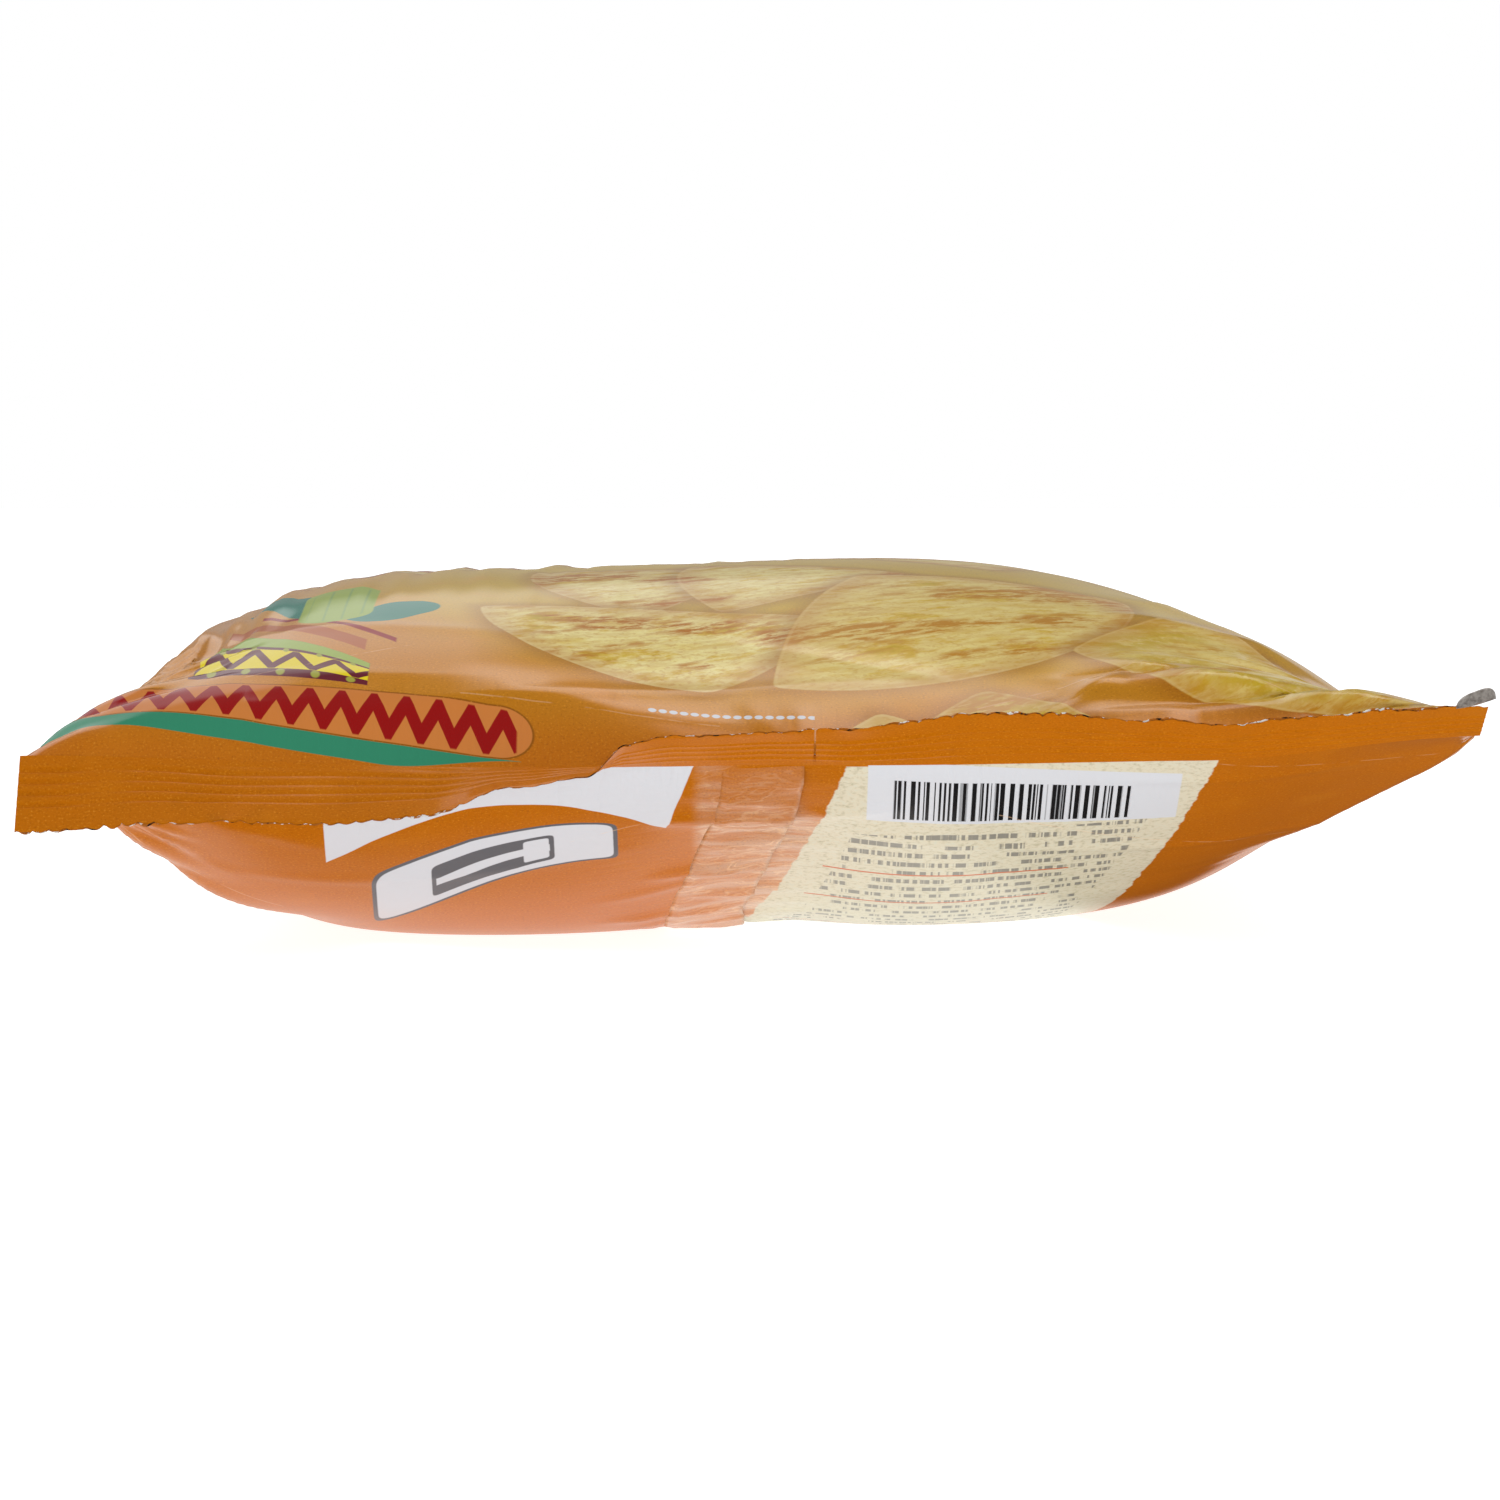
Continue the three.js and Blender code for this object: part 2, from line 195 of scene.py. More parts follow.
def lower_of(p, q):
    """The lower of two heights, with the edge between them rounded."""
    return (p + q - np.hypot(p - q, CREASE_ROUND)) / 2


PANEL_RISES = {
    panel: (top, rise_across(*near), rise_across(*far)) for panel, (top, near, far) in PANEL_SLOPES.items()
}


def full_rise(panel, a, d):
    """Height of a panel before its facets are cut: near curve times far curve, and lifts."""
    top, near, far = PANEL_RISES[panel]
    ends = {-1: near(a, d), 1: far(a, FILM_LENGTH - d)}
    height = top * ends[-1] * ends[1]
    for side, end, full, gone, lift, _ in FACETS:
        if side == panel:
            height = height + lift * smooth((a - gone) / (full - gone), 0, 1) * (1 - ends[end])
    return height


def cut_to_facets(panel, a, d, height):
    """A panel's height cut down to the steep plane of each facet."""
    for side, end, full, gone, _, slope in FACETS:
        if side == panel:
            plane = (d if end < 0 else FILM_LENGTH - d) * np.sin(np.radians(slope))
            height = np.where((a - gone) / (full - gone) > 0, lower_of(plane, height), height)
    return np.maximum(height, 0)


def rise(panel, a, d):
    """Height of the middle of a panel off the folds."""
    return np.maximum(cut_to_facets(panel, a, d, full_rise(panel, a, d)), LEAST_RISE)


def half_sections(heights, power, shares):
    """Half sections of a panel: the film's angle is a turn times its share of the width to a power.

    Sums of the angle's cosine and sine give the distance across and the climb, and a table of turns
    finds the turn for each height. Returns both at `shares`, as shares of their wholes.
    """
    middles = ((np.arange(SUM_STEPS) + 0.5) / SUM_STEPS) ** power
    turns = np.linspace(0, np.radians(MOST_TURN), TURN_STEPS)
    tops = np.sin(turns[:, None] * middles).mean(1) * HALF_WIDTH
    rising = np.argmax(tops) + 1
    turn = np.interp(heights, tops[:rising], turns[:rising])
    angles = turn[:, None] * middles
    start = np.zeros((len(heights), 1))
    across = np.hstack([start, np.cumsum(np.cos(angles), 1)]) / SUM_STEPS
    climbs = np.hstack([start, np.cumsum(np.sin(angles), 1)])
    at = np.clip(np.round(shares * SUM_STEPS).astype(int), 0, SUM_STEPS)
    return across[:, at], 1 - climbs[:, at] / climbs[:, -1:]


def run_table():
    """Distance along the bag by length of film: film that climbs doesn't run forwards."""
    lengths = np.linspace(0, FILM_LENGTH, SUM_STEPS + 1)
    climbs = np.diff(rise(1, np.full_like(lengths, RUN_COLUMN), lengths))
    step = FILM_LENGTH / SUM_STEPS
    runs = np.cumsum(np.sqrt(np.maximum(0, step**2 - climbs**2)))
    return lengths, np.concatenate([[0], runs])


RUN_LENGTHS, RUNS = run_table()
BODY_LENGTH = RUNS[-1]


def away_from_seals(d, margin):
    """0 at both seals and 1 between them, `margin` away from each."""
    return smooth(d, 0, margin) * (1 - smooth(d, FILM_LENGTH - margin, FILM_LENGTH))


def fold_height(a, d):
    """Height of the side folds, from one seal's base to the other's."""
    share = smooth(d, 0, FILM_LENGTH)
    between = along(NEAR_BASE, a) * (1 - share) + along(FAR_BASE, a) * share
    return between + along(FOLD_LIFT, a) * away_from_seals(d, FOLD_SETTLE)


def seam_pull(a, d):
    """Inward pull of the long seam: a bell-shaped groove along the back."""
    pull = SEAM_PULL
    ends = smooth(d, pull["start"], pull["whole"]) * (1 - smooth(d, pull["fading"], pull["end"]))
    return pull["depth"] * ends * np.exp(-((a / pull["half_width"]) ** 2))


def above_floor(z):
    """The height, or the floor where it is below, with a rounded rim."""
    soft = (z + np.hypot(z, FLOOR_SOFTNESS)) / 2
    return np.maximum(0, soft - FLOOR_SOFTNESS / 4 * (1 - smooth(z, 0, 8 * FLOOR_SOFTNESS)))


def fin_middle(d):
    """Column of the folded seam's middle, which leaves the near seal askew."""
    return 1.6 - 8 * smooth(d, 0, 70) * (1 - smooth(d, 110, 240))


def floor_under(a, d, panels):
    """The film's own floor: 0, but higher where it lies on the folded seam."""
    under_fin = 1 - smooth(np.abs(a - fin_middle(d)), FIN_WIDTH / 2, FIN_WIDTH / 2 + 1.5)
    return np.where(panels < 0, FIN_BED * under_fin, 0)


def slack(a, d, panels):
    """How free the film is to wrinkle: 1, but little on the taut right of the back."""
    taut = smooth(a, *TAUT_COLUMNS) * smooth(d, *TAUT_LENGTHS)
    return np.where(panels < 0, 1 - TAUT_SHARE * taut, 1)


def film_grid(columns, rows):
    """Columns and panels round the tube, rightwards in front and leftwards behind, and lengths."""
    half = columns // 2
    across = np.linspace(-HALF_WIDTH, HALF_WIDTH, half + 1)
    around = np.concatenate([across[:-1], across[:0:-1]])
    return around, np.repeat([1, -1], half), np.linspace(0, FILM_LENGTH, rows + 1)[:, None]


def filled_film(columns, rows):
    """The filled tube before it wrinkles, rows by columns: four half sections a row.

    A fold reaches as far out as the mean of its front and its back.
    """
    around, panels, lengths = film_grid(columns, rows)
    a, d = np.broadcast_arrays(around, lengths)
    shares = np.abs(around) / HALF_WIDTH
    points = np.zeros((rows + 1, columns, 3))
    points[..., 1] = np.interp(d, RUN_LENGTHS, RUNS) - BODY_LENGTH / 2
    for side in (-1, 1):
        here = np.sign(around + 1e-9) == side
        found = {}
        for panel, powers in ((1, FRONT_TURN_POWERS), (-1, BACK_TURN_POWERS)):
            middle = rise(panel, np.full(rows + 1, side * HALF_WIDTH), lengths[:, 0])
            there = here & (panels == panel)
            own = half_sections(middle, powers[side > 0], np.append(shares[there], 1))
            found[panel] = there, own[0], own[1]
        reach = (found[1][1][:, -1:] + found[-1][1][:, -1:]) / 2
        for there, across, standing in found.values():
            points[:, there, 0] = side * HALF_WIDTH * across[:, :-1] * reach / across[:, -1:]
            points[:, there, 2] = standing[:, :-1]
    rises = [cut_to_facets(panel, a, d, full_rise(panel, a, d) * points[..., 2]) for panel in (1, -1)]
    front = fold_height(a, d) + rises[0]
    back = fold_height(a, d) - rises[1] + seam_pull(a, d) * points[..., 2]
    points[..., 2] = np.where(panels > 0, front, np.maximum(above_floor(back), floor_under(a, d, panels)))
    return points


def settle_round(points, round_by, length, stiffness):
    """Moves each pair of neighbours towards their rest distance, every second pair at a time.

    The neighbour is in the next row, `round_by` columns on, or in the same row if that is None.
    """
    for parity in (0, 1):
        if round_by is None:
            first = np.s_[:, np.arange(parity, points.shape[1], 2)]
            second = np.s_[:, np.arange(parity + 1, points.shape[1] + parity, 2) % points.shape[1]]
            turned = 0
        else:
            first, second, turned = np.s_[parity:-1:2], np.s_[parity + 1 :: 2], round_by
        gap = np.roll(points[second], -turned, 1) - points[first]
        distance = np.sqrt((gap * gap).sum(2, keepdims=True)) + 1e-9
        move = gap * (stiffness / 2) * (1 - length / distance)
        points[first] += move
        points[second] -= np.roll(move, turned, 1)


def bowl(points):
    """From each point to the mean of its four neighbours, 0 along the seals."""
    out = np.zeros_like(points)
    sides = np.roll(points, 1, 1) + np.roll(points, -1, 1)
    out[1:-1] = (sides[1:-1] + points[:-2] + points[2:]) / 4 - points[1:-1]
    return out


def film_normals(points):
    """Outward normals: the cross of the way round the tube and the way along it."""
    along_it = np.gradient(points, axis=0)
    round_it = np.roll(points, -1, 1) - np.roll(points, 1, 1)
    normals = np.cross(round_it, along_it)
    return normals / (np.linalg.norm(normals, axis=2, keepdims=True) + 1e-9)


def settle(points, target, rounds, hold, swell, bend, most):
    """Lets the film take its own wrinkles: equal lengths along, round and across each cell of the grid.

    Each round blows it out, draws it towards `target`, smooths its bends away from that, restores its
    lengths, and keeps it within `most` of the target and above the floor.
    """
    rows, columns = points.shape[0] - 1, points.shape[1]
    high, wide = FILM_LENGTH / rows, 2 * FLAT_WIDTH / columns
    around, panels, lengths = film_grid(columns, rows)
    lowest = floor_under(around, lengths, panels)
    free = (away_from_seals(lengths, SEAL_HOLD) + 0.02) * slack(around, lengths, panels)
    most = most * free[..., None]
    for _ in range(rounds):
        points = points + hold * (target - points) + swell * film_normals(points)
        points = points - bend * bowl(bowl(points - target))
        settle_round(points, None, wide, 1.0)
        settle_round(points, 0, high, 1.0)
        settle_round(points, 1, np.hypot(high, wide), 0.5)
        settle_round(points, -1, np.hypot(high, wide), 0.5)
        away = points - target
        far = np.linalg.norm(away, axis=2, keepdims=True) + 1e-9
        points = target + away * np.minimum(1, most / far)
        points[..., 2] = np.maximum(points[..., 2], lowest)
        points[0], points[-1] = target[0], target[-1]
    return points


def finer(grid):
    """A grid with twice the cells each way: new points by the four-point rule."""
    before, after, beyond = np.roll(grid, 1, 1), np.roll(grid, -1, 1), np.roll(grid, -2, 1)
    wide = np.stack([grid, (9 * (grid + after) - before - beyond) / 16], 2).reshape(len(grid), -1, 3)
    padded = np.concatenate([2 * wide[:1] - wide[1:2], wide, 2 * wide[-1:] - wide[-2:-1]])
    between = (9 * (padded[1:-2] + padded[2:-1]) - padded[:-3] - padded[3:]) / 16
    out = np.empty((2 * len(wide) - 1, wide.shape[1], 3))
    out[0::2], out[1::2] = wide, between
    return out


def small_wrinkles():
    """Small wrinkles, in the form of CREASES: fans off the seals, and short ones across the long seam."""
    draws = np.random.default_rng(SEED + 1)
    out = []
    for panel in (1, -1):
        for end in (-1, 1):
            for a in np.linspace(-84, 84, FAN_WRINKLES) + draws.normal(0, 2.5, FAN_WRINKLES):
                length, lean = draws.uniform(9, 30), draws.normal(0, 5)
                height, width = draws.uniform(-0.35, 0.35), draws.uniform(1.6, 3.0)
                height = height * float(slack(a, 0 if end < 0 else FILM_LENGTH, panel))
                near = 0.5 if end < 0 else FILM_LENGTH - 0.5
                out.append((panel, (a, near), (a + lean, near - end * length), height, width))
    for d in np.linspace(8, FILM_LENGTH - 8, SEAM_WRINKLES) + draws.normal(0, 1.5, SEAM_WRINKLES):
        side, length, lean = draws.choice((-1, 1)), draws.uniform(10, 26), draws.normal(0, 4)
        start = (float(fin_middle(d)) - side * 4, d)
        end = (start[0] + side * length, d + lean)
        out.append((-1, start, end, draws.uniform(0.4, 1.2), draws.uniform(1.1, 2.0)))
    return out


def crease_push(panels, a, d):
    """Push out of the bag by the creases: along each a sharp ridge, the exponential of the distance."""
    push = np.zeros(np.broadcast_shapes(a.shape, d.shape))
    start, whole, fading, gone = CREASE_GROWS
    for panel, (a0, d0), (a1, d1), height, width in (*CREASES, *small_wrinkles()):
        wide, high = a1 - a0, d1 - d0
        length = np.hypot(wide, high)
        share = ((a - a0) * wide + (d - d0) * high) / length**2
        off = ((a - a0) * high - (d - d0) * wide) / length
        grown = smooth(share, start, whole) * (1 - smooth(share, fading, gone))
        ridge = height * grown * np.exp(-np.hypot(off, CREASE_EDGE) / width)
        push = push + np.where(panels == panel, ridge, 0)
    return push * away_from_seals(d, 2)


def settled_film():
    """The wrinkled film, worked out on a coarse grid and then on two finer ones."""
    draws = np.random.default_rng(SEED)
    columns, rows = COARSE_COLUMNS, COARSE_ROWS
    target = filled_film(columns, rows)
    start = target + film_normals(target) * draws.normal(0, 0.6, target.shape[:2])[..., None]
    points = settle(start, target, *SETTLING[0])
    for stage in SETTLING[1:]:
        away = finer(points - target)
        columns, rows = 2 * columns, 2 * rows
        target = filled_film(columns, rows)
        points = settle(target + away, target, *stage)
    around, panels, lengths = film_grid(columns, rows)
    points = points + film_normals(points) * crease_push(panels, around, lengths)[..., None]
    points[..., 2] = np.maximum(points[..., 2], floor_under(around, lengths, panels))
    return points


def add_mesh(name, points, faces):
    """A smooth mesh at the origin, from points in millimetres and faces by index."""
    mesh = bpy.data.meshes.new(name)
    mesh.from_pydata((points * MM).tolist(), [], faces.tolist())
    mesh.polygons.foreach_set("use_smooth", np.ones(len(faces), bool))
    mesh.update()
    piece = bpy.data.objects.new(name, mesh)
    bpy.context.scene.collection.objects.link(piece)
    return piece


def grid_faces(rows, columns, closed):
    """Quads of a grid of points, joined round its columns where it is closed."""
    index = np.arange(rows * columns).reshape(rows, columns)
    beside = np.roll(index, -1, 1)
    if not closed:
        index, beside = index[:, :-1], beside[:, :-1]
    quads = np.stack([index[:-1], beside[:-1], beside[1:], index[1:]], 2)
    return quads.reshape(-1, 4)


def wander(places, spacing, seed):
    """Smooth random line: values from -1 to 1, `spacing` apart, eased from each to the next."""
    first = int(np.floor(np.min(places) / spacing)) - 1
    count = int(np.ceil(np.max(places) / spacing)) - first + 2
    values = np.random.default_rng(seed).uniform(-1, 1, count)
    knots = (first + np.arange(count)) * spacing
    return along(np.stack([knots, values], 1), places)


def on_back(points, normals, a, d, off):
    """Points `off` outside the back at places a, d: bilinear between the grid's points."""
    rows, columns = points.shape[0] - 1, points.shape[1]
    half = columns // 2
    across = np.clip((HALF_WIDTH - a) / FLAT_WIDTH * half, 0, half - 1e-6)
    down = np.clip(d / FILM_LENGTH * rows, 0, rows - 1e-6)
    i, j = across.astype(int), down.astype(int)
    u, v = (across - i)[..., None], (down - j)[..., None]
    out = 0
    for grid, scale in ((points, 1), (normals, off[..., None])):
        turned = np.roll(grid, -half, 1)
        near = turned[j, i] * (1 - u) + turned[j, (i + 1) % columns] * u
        far = turned[j + 1, i] * (1 - u) + turned[j + 1, (i + 1) % columns] * u
        out = out + (near * (1 - v) + far * v) * scale
    return out


def strip_tilt(end, a):
    """The way a seal strip points, as an angle above level."""
    return np.radians(along(NEAR_TILT if end < 0 else FAR_TILT, a))


# Cuts and buckles of the seal strips
STRIP_COLUMNS = 640
STRIP_ROWS = 54
STRIP_ROOT = -0.7
TEAR_PLACE = 8.4
TEAR_ROOT = 3.0
TEAR_WIDTH = 0.22
TWIST_PLACE = -14.0
CUT_INNER = 0.5

# The curled tip of the near cut: length, rise, radius, ply, its turn in degrees and its fineness
TIP_LENGTH = 5.2
TIP_RISE = 1.3
TIP_RADIUS = 1.15
TIP_PLY = 0.12
TIP_TURN = 300
TIP_RINGS = 44
TIP_STEPS = 36


def strip_columns(end):
    """Columns of a strip: even ones, and a few more beside the near one's tear."""
    even = np.linspace(-HALF_WIDTH, HALF_WIDTH, STRIP_COLUMNS + 1)
    beside_tear = TEAR_PLACE + TEAR_WIDTH * np.array([-0.6, -0.5, -0.4, 0.4, 0.5, 0.6])
    return np.sort(np.concatenate([even, beside_tear])) if end < 0 else even


def strip_edge(end, a, side):
    """How far out a ply is cut: uneven scallops on a wandering line, and a slit."""
    phase = (a + 0.5 * wander(a, 9, 11 + end)) / TOOTH_PITCH
    scallops = np.abs(np.sin(np.pi * phase)) ** 0.7
    height = TOOTH_HEIGHT * (1 + 0.6 * wander(a, TOOTH_PITCH, 21 + end))
    frayed = 0.16 * wander(a, 1.3, 25 + end + 2 * side) + 0.08 * wander(a, 0.5, 29 + end + 2 * side)
    edge = SEAL_WIDTH + height * (scallops - 0.5) + 0.25 * wander(a, 14, 31 + end) + frayed
    if end < 0:
        edge = np.where(np.abs(a - TEAR_PLACE) < TEAR_WIDTH * 0.45, TEAR_ROOT, edge)
        edge = edge - 0.5 * np.exp(-((a - TWIST_PLACE) / 2.2) ** 2)
    return edge


def crimp_grooves(end, a, reach):
    """Pressed lines along a strip: grooves, a high power of a cosine of the reach."""
    last = CRIMP_PITCH * CRIMP_COUNT
    window = smooth(reach, 0.2, 1) * (1 - smooth(reach, last, last + 0.6))
    pressed = 1 + 0.8 * wander(a, 7, 41 + end)
    phase = np.pi * (reach + 0.45 * wander(a, 13, 51 + end)) / CRIMP_PITCH
    return -CRIMP_DEPTH * pressed * window * np.cos(phase) ** 6


def seal_strip(end):
    """A crimped strip as one closed skin: out along the upper ply, into the cut, back along the lower.

    A point is the seal's base line, plus its reach along the strip's tilt, plus half the plies, the
    crimps and the buckles (wandering lines that grow towards the cut) square to the strip.
    """
    a = strip_columns(end)
    shares = np.linspace(0, 1, STRIP_ROWS + 1)
    shares = np.concatenate([shares, [1], shares[::-1]])[:, None]
    side = np.concatenate([np.ones(STRIP_ROWS + 1), [0], -np.ones(STRIP_ROWS + 1)])[:, None]
    upper, lower = strip_edge(end, a, 1), strip_edge(end, a, -1)
    inner = np.minimum(upper, lower) - CUT_INNER
    edge = np.where(side > 0, upper, np.where(side < 0, lower, inner))
    reach = STRIP_ROOT + shares * (edge - STRIP_ROOT)
    grown = np.clip(reach / SEAL_WIDTH, 0, 1)
    buckles = 0.75 * wander(a, 15, 61 + end) * grown**1.5 + 0.3 * wander(a, 4.5, 71 + end) * grown**3
    if end < 0:
        buckles = buckles + 0.5 * np.exp(-((a - TWIST_PLACE) / 3.0) ** 2) * grown**2
    gape = 1 + 0.8 * (wander(a, 3.1, 81 + end) - 0.4) * smooth(grown, 0.93, 1)
    closed = 1 - np.abs(a / HALF_WIDTH) ** 40
    off = side * (PLIES / 2) * gape * closed + crimp_grooves(end, a, reach) + buckles
    tilt = strip_tilt(end, a)
    d = np.full_like(a, 0 if end < 0 else FILM_LENGTH)
    y = end * (BODY_LENGTH / 2 + reach * np.cos(tilt) - off * np.sin(tilt))
    z = fold_height(a, d) + reach * np.sin(tilt) + off * np.cos(tilt)
    return np.stack([np.broadcast_to(a, y.shape), y, z], 2), reach


def curled_tip():
    """A sliver rolled up at the right end of the near cut: a closing spiral along a rising axis."""
    along_axis = np.linspace(0, 1, TIP_RINGS)[:, None]
    turn = np.linspace(0, np.radians(TIP_TURN), TIP_STEPS)
    turn = np.concatenate([turn, turn[::-1]])
    ply = np.repeat([0, 1], TIP_STEPS) * TIP_PLY
    waist = TIP_RADIUS * np.sqrt(1.0001 - np.abs(2 * along_axis - 1) ** 3) * (0.75 + 0.25 * along_axis)
    radius = waist * np.maximum(1 - 0.3 * turn / turn.max() - ply / TIP_RADIUS, 0.05)
    tilt = strip_tilt(-1, np.array([HALF_WIDTH]))[0]
    root = np.array([HALF_WIDTH - TIP_LENGTH + 1, -BODY_LENGTH / 2 - SEAL_WIDTH * np.cos(tilt), 0])
    root[2] = fold_height(np.array([HALF_WIDTH]), np.array([0.0]))[0] + (SEAL_WIDTH - 0.6) * np.sin(tilt)
    x = root[0] + TIP_LENGTH * along_axis + 0 * radius
    y = root[1] - radius * np.sin(turn)
    z = root[2] + TIP_RISE * along_axis**1.5 + waist - radius * np.cos(turn)
    return np.stack([x, y, z], 2)


def fin_strip(points, normals):
    """The long seam, folded flat to one side: a thin band over the back, wavy along its free edge."""
    d = np.linspace(0, FILM_LENGTH, FIN_ROWS)[:, None]
    across = np.linspace(-0.5, 0.5, FIN_COLUMNS)
    across = np.concatenate([across, across[::-1]])
    top = np.repeat([1, 0], FIN_COLUMNS)
    free = smooth(across, -0.1, 0.5)
    ripple = 0.34 * wander(d[:, 0], 4.5, 91)[:, None] + 0.2 * wander(d[:, 0], 13, 92)[:, None]
    rooted = smooth(across, -0.5, -0.36) * away_from_seals(d, 4)
    lift = -0.08 + (0.2 + free * np.maximum(0, 0.25 + ripple)) * rooted
    off = lift + FIN_PLIES * top * rooted
    a = fin_middle(d) + FIN_WIDTH * across + 0.15 * wander(d[:, 0], 8, 93)[:, None] * (across > 0.4)
    out = on_back(points, normals, a, np.broadcast_to(d, a.shape), off)
    out[..., 2] = np.maximum(out[..., 2], 0.02 + FIN_PLIES * (1 - top) * rooted)
    return out, a, np.broadcast_to(d, a.shape)


def ink(red, green, blue):
    """Linear colour of an ink from its sRGB value."""
    share = np.array([red, green, blue]) / 255
    linear = np.where(share < 0.04045, share / 12.92, ((share + 0.055) / 1.055) ** 2.4)
    return (*linear.tolist(), 1)


# Inks of the print
ORANGE = ink(196, 110, 9)
GOLD = ink(204, 168, 36)
TAWNY = ink(196, 130, 20)
TAN = ink(200, 122, 56)
RED = ink(146, 8, 6)
TEAL = ink(48, 132, 100)
MAROON = ink(100, 22, 38)
YELLOW = ink(228, 206, 24)
LIGHT_GREEN = ink(154, 174, 74)
OLIVE = ink(160, 160, 60)
PINK_RED = ink(178, 96, 40)
DARK_TEAL = ink(40, 122, 104)
WHITE = ink(206, 209, 214)
CREAM = ink(212, 204, 180)
GREY = ink(96, 96, 100)
TEXT_GREY = ink(120, 118, 112)
RULE_RED = ink(196, 110, 76)
BLACK = ink(22, 22, 24)
PAPER_DARK = ink(184, 178, 152)
PAPER_PALE = ink(207, 207, 189)
# Pale colour of painted highlights: lines along hard creases, and a net over the long seam's crumples
PAINTED_HIGHLIGHT = ink(236, 196, 156)
# Paler orange of the long seam: partly its own paler film, and, where laid in streaks, painted highlights of
# its crumples
SEAM_PALE = ink(214, 178, 152)
SHADE = ink(150, 88, 8)
CRISP_PALE = ink(240, 228, 160)
CRISP_GOLD = ink(216, 184, 78)
CRISP_OLIVE = ink(184, 162, 20)
CRISP_BROWN = ink(178, 108, 24)
CRISP_RIM = ink(232, 214, 160)
CRISP_TOASTED = ink(200, 160, 28)
# Painted glints of the metallic ink's flakes, bright and dark
GLINT = ink(250, 178, 60)
DARK_GLINT = ink(120, 56, 0)
CLOUD = ink(218, 134, 22)
# Painted shadow and painted highlight of the foil in the raw cut
CUT_SHADOW = ink(40, 22, 8)
CUT_HIGHLIGHT = ink(250, 246, 240)
FOIL_DARK = ink(140, 130, 122)
FOIL_PALE = ink(196, 188, 180)

# Sockets of a Mix node that mixes colours
MIX_FACTOR, MIX_BELOW, MIX_ABOVE, MIX_RESULT = 0, 6, 7, 2

# Kinds of the groups' sockets that aren't plain numbers
SOCKET_KINDS = {"Place": "Vector", "Normal": "Vector", "Colour": "Color", "Below": "Color", "Corn": "Color"}

# How softly a printed shape ends, as a half width
PRINT_EDGE = 0.09


def feed(node, values):
    """Feeds a node's inputs, by name or number, from fields and values."""
    for key, value in values.items() if isinstance(values, dict) else enumerate(values):
        if isinstance(value, Field):
            node.id_data.links.new(value.socket, node.inputs[key])
        else:
            node.inputs[key].default_value = value


def add_node(tree, kind, values=(), **settings):
    """Adds a shader node with its settings, and feeds it."""
    node = tree.nodes.new(f"ShaderNode{kind}")
    for name, value in settings.items():
        setattr(node, name, value)
    feed(node, values)
    return node


def output_of(tree, kind, output, values=(), **settings):
    """Adds a node and gives one of its outputs."""
    return Field(tree, add_node(tree, kind, values, **settings).outputs[output])


class Field:
    """A node's output that can be reckoned with: each operation adds the node that does it."""

    def __init__(self, tree, socket):
        self.tree = tree
        self.socket = socket

    def math(self, operation, *others):
        return output_of(self.tree, "Math", 0, (self, *others), operation=operation)

    __add__ = partialmethod(math, "ADD")
    __sub__ = partialmethod(math, "SUBTRACT")
    __mul__ = partialmethod(math, "MULTIPLY")
    __truediv__ = partialmethod(math, "DIVIDE")
    size = partialmethod(math, "ABSOLUTE")
    most = partialmethod(math, "MAXIMUM")
    soft_most = partialmethod(math, "SMOOTH_MAX")

    def __rsub__(self, value):
        return self * -1 + value

    def zigzag(self, half):
        """Triangle wave of period 2 * half, from -half / 2 to half / 2."""
        return self.math("PINGPONG", half) - half / 2

    def hypot(self, other):
        return (self * self + other * other).math("SQRT")

    def step(self, start, end):
        """0 at start, 1 at end, eased between."""
        values = {"Value": self, "From Min": start, "From Max": end}
        return output_of(self.tree, "MapRange", 0, values, interpolation_type="SMOOTHSTEP")

    def inside(self, soft=PRINT_EDGE):
        """1 inside a shape and 0 outside it, where the field is the distance out of it."""
        return self.step(soft, -soft)


def vector(*parts):
    """The three parts as one vector; the first is a field."""
    return output_of(parts[0].tree, "CombineXYZ", 0, parts)


def split(place):
    """The three parts of a vector."""
    node = add_node(place.tree, "SeparateXYZ", (place,))
    return [Field(place.tree, socket) for socket in node.outputs]


def noise(place, size, detail, roughness, stretch=(1, 1, 1)):
    """Smooth noise with lumps of about `size`, stretched along the axes; its mean is 0.5."""
    squeezed = (place, [1 / s for s in stretch])
    scaled = output_of(place.tree, "VectorMath", 0, squeezed, operation="MULTIPLY")
    values = {"Vector": scaled, "Scale": 1 / size, "Detail": detail, "Roughness": roughness}
    return output_of(place.tree, "TexNoise", "Fac", values)


def over(below, above, share):
    """The colour `above` laid over `below` where share is 1."""
    values = {MIX_FACTOR: share, MIX_BELOW: below, MIX_ABOVE: above}
    return output_of(share.tree, "Mix", MIX_RESULT, values, data_type="RGBA")


def ramp(value, stops):
    """Colours between stops: place and colour."""
    node = add_node(value.tree, "ValToRGB", (value,))
    elements = node.color_ramp.elements
    while len(elements) < len(stops):
        elements.new(0.5)
    for element, (place, colour) in zip(elements, stops):
        element.position = place
        element.color = colour
    return Field(value.tree, node.outputs["Color"])


def new_group(name, takes, gives):
    """An empty node group with named sockets. Returns it, its fields in, and its end."""
    group = bpy.data.node_groups.new(name, "ShaderNodeTree")
    for in_out, sockets in (("INPUT", takes), ("OUTPUT", gives)):
        for socket in sockets:
            kind = SOCKET_KINDS.get(socket, "Float")
            group.interface.new_socket(socket, in_out=in_out, socket_type=f"NodeSocket{kind}")
    start = group.nodes.new("NodeGroupInput")
    return group, [Field(group, socket) for socket in start.outputs[:-1]], group.nodes.new("NodeGroupOutput")


def use_group(group, values):
    """Places a group in the tree of its first value, and gives its outputs."""
    tree = next(iter(values.values())).tree
    node = add_node(tree, "Group", values, node_tree=group)
    return [Field(tree, socket) for socket in node.outputs]


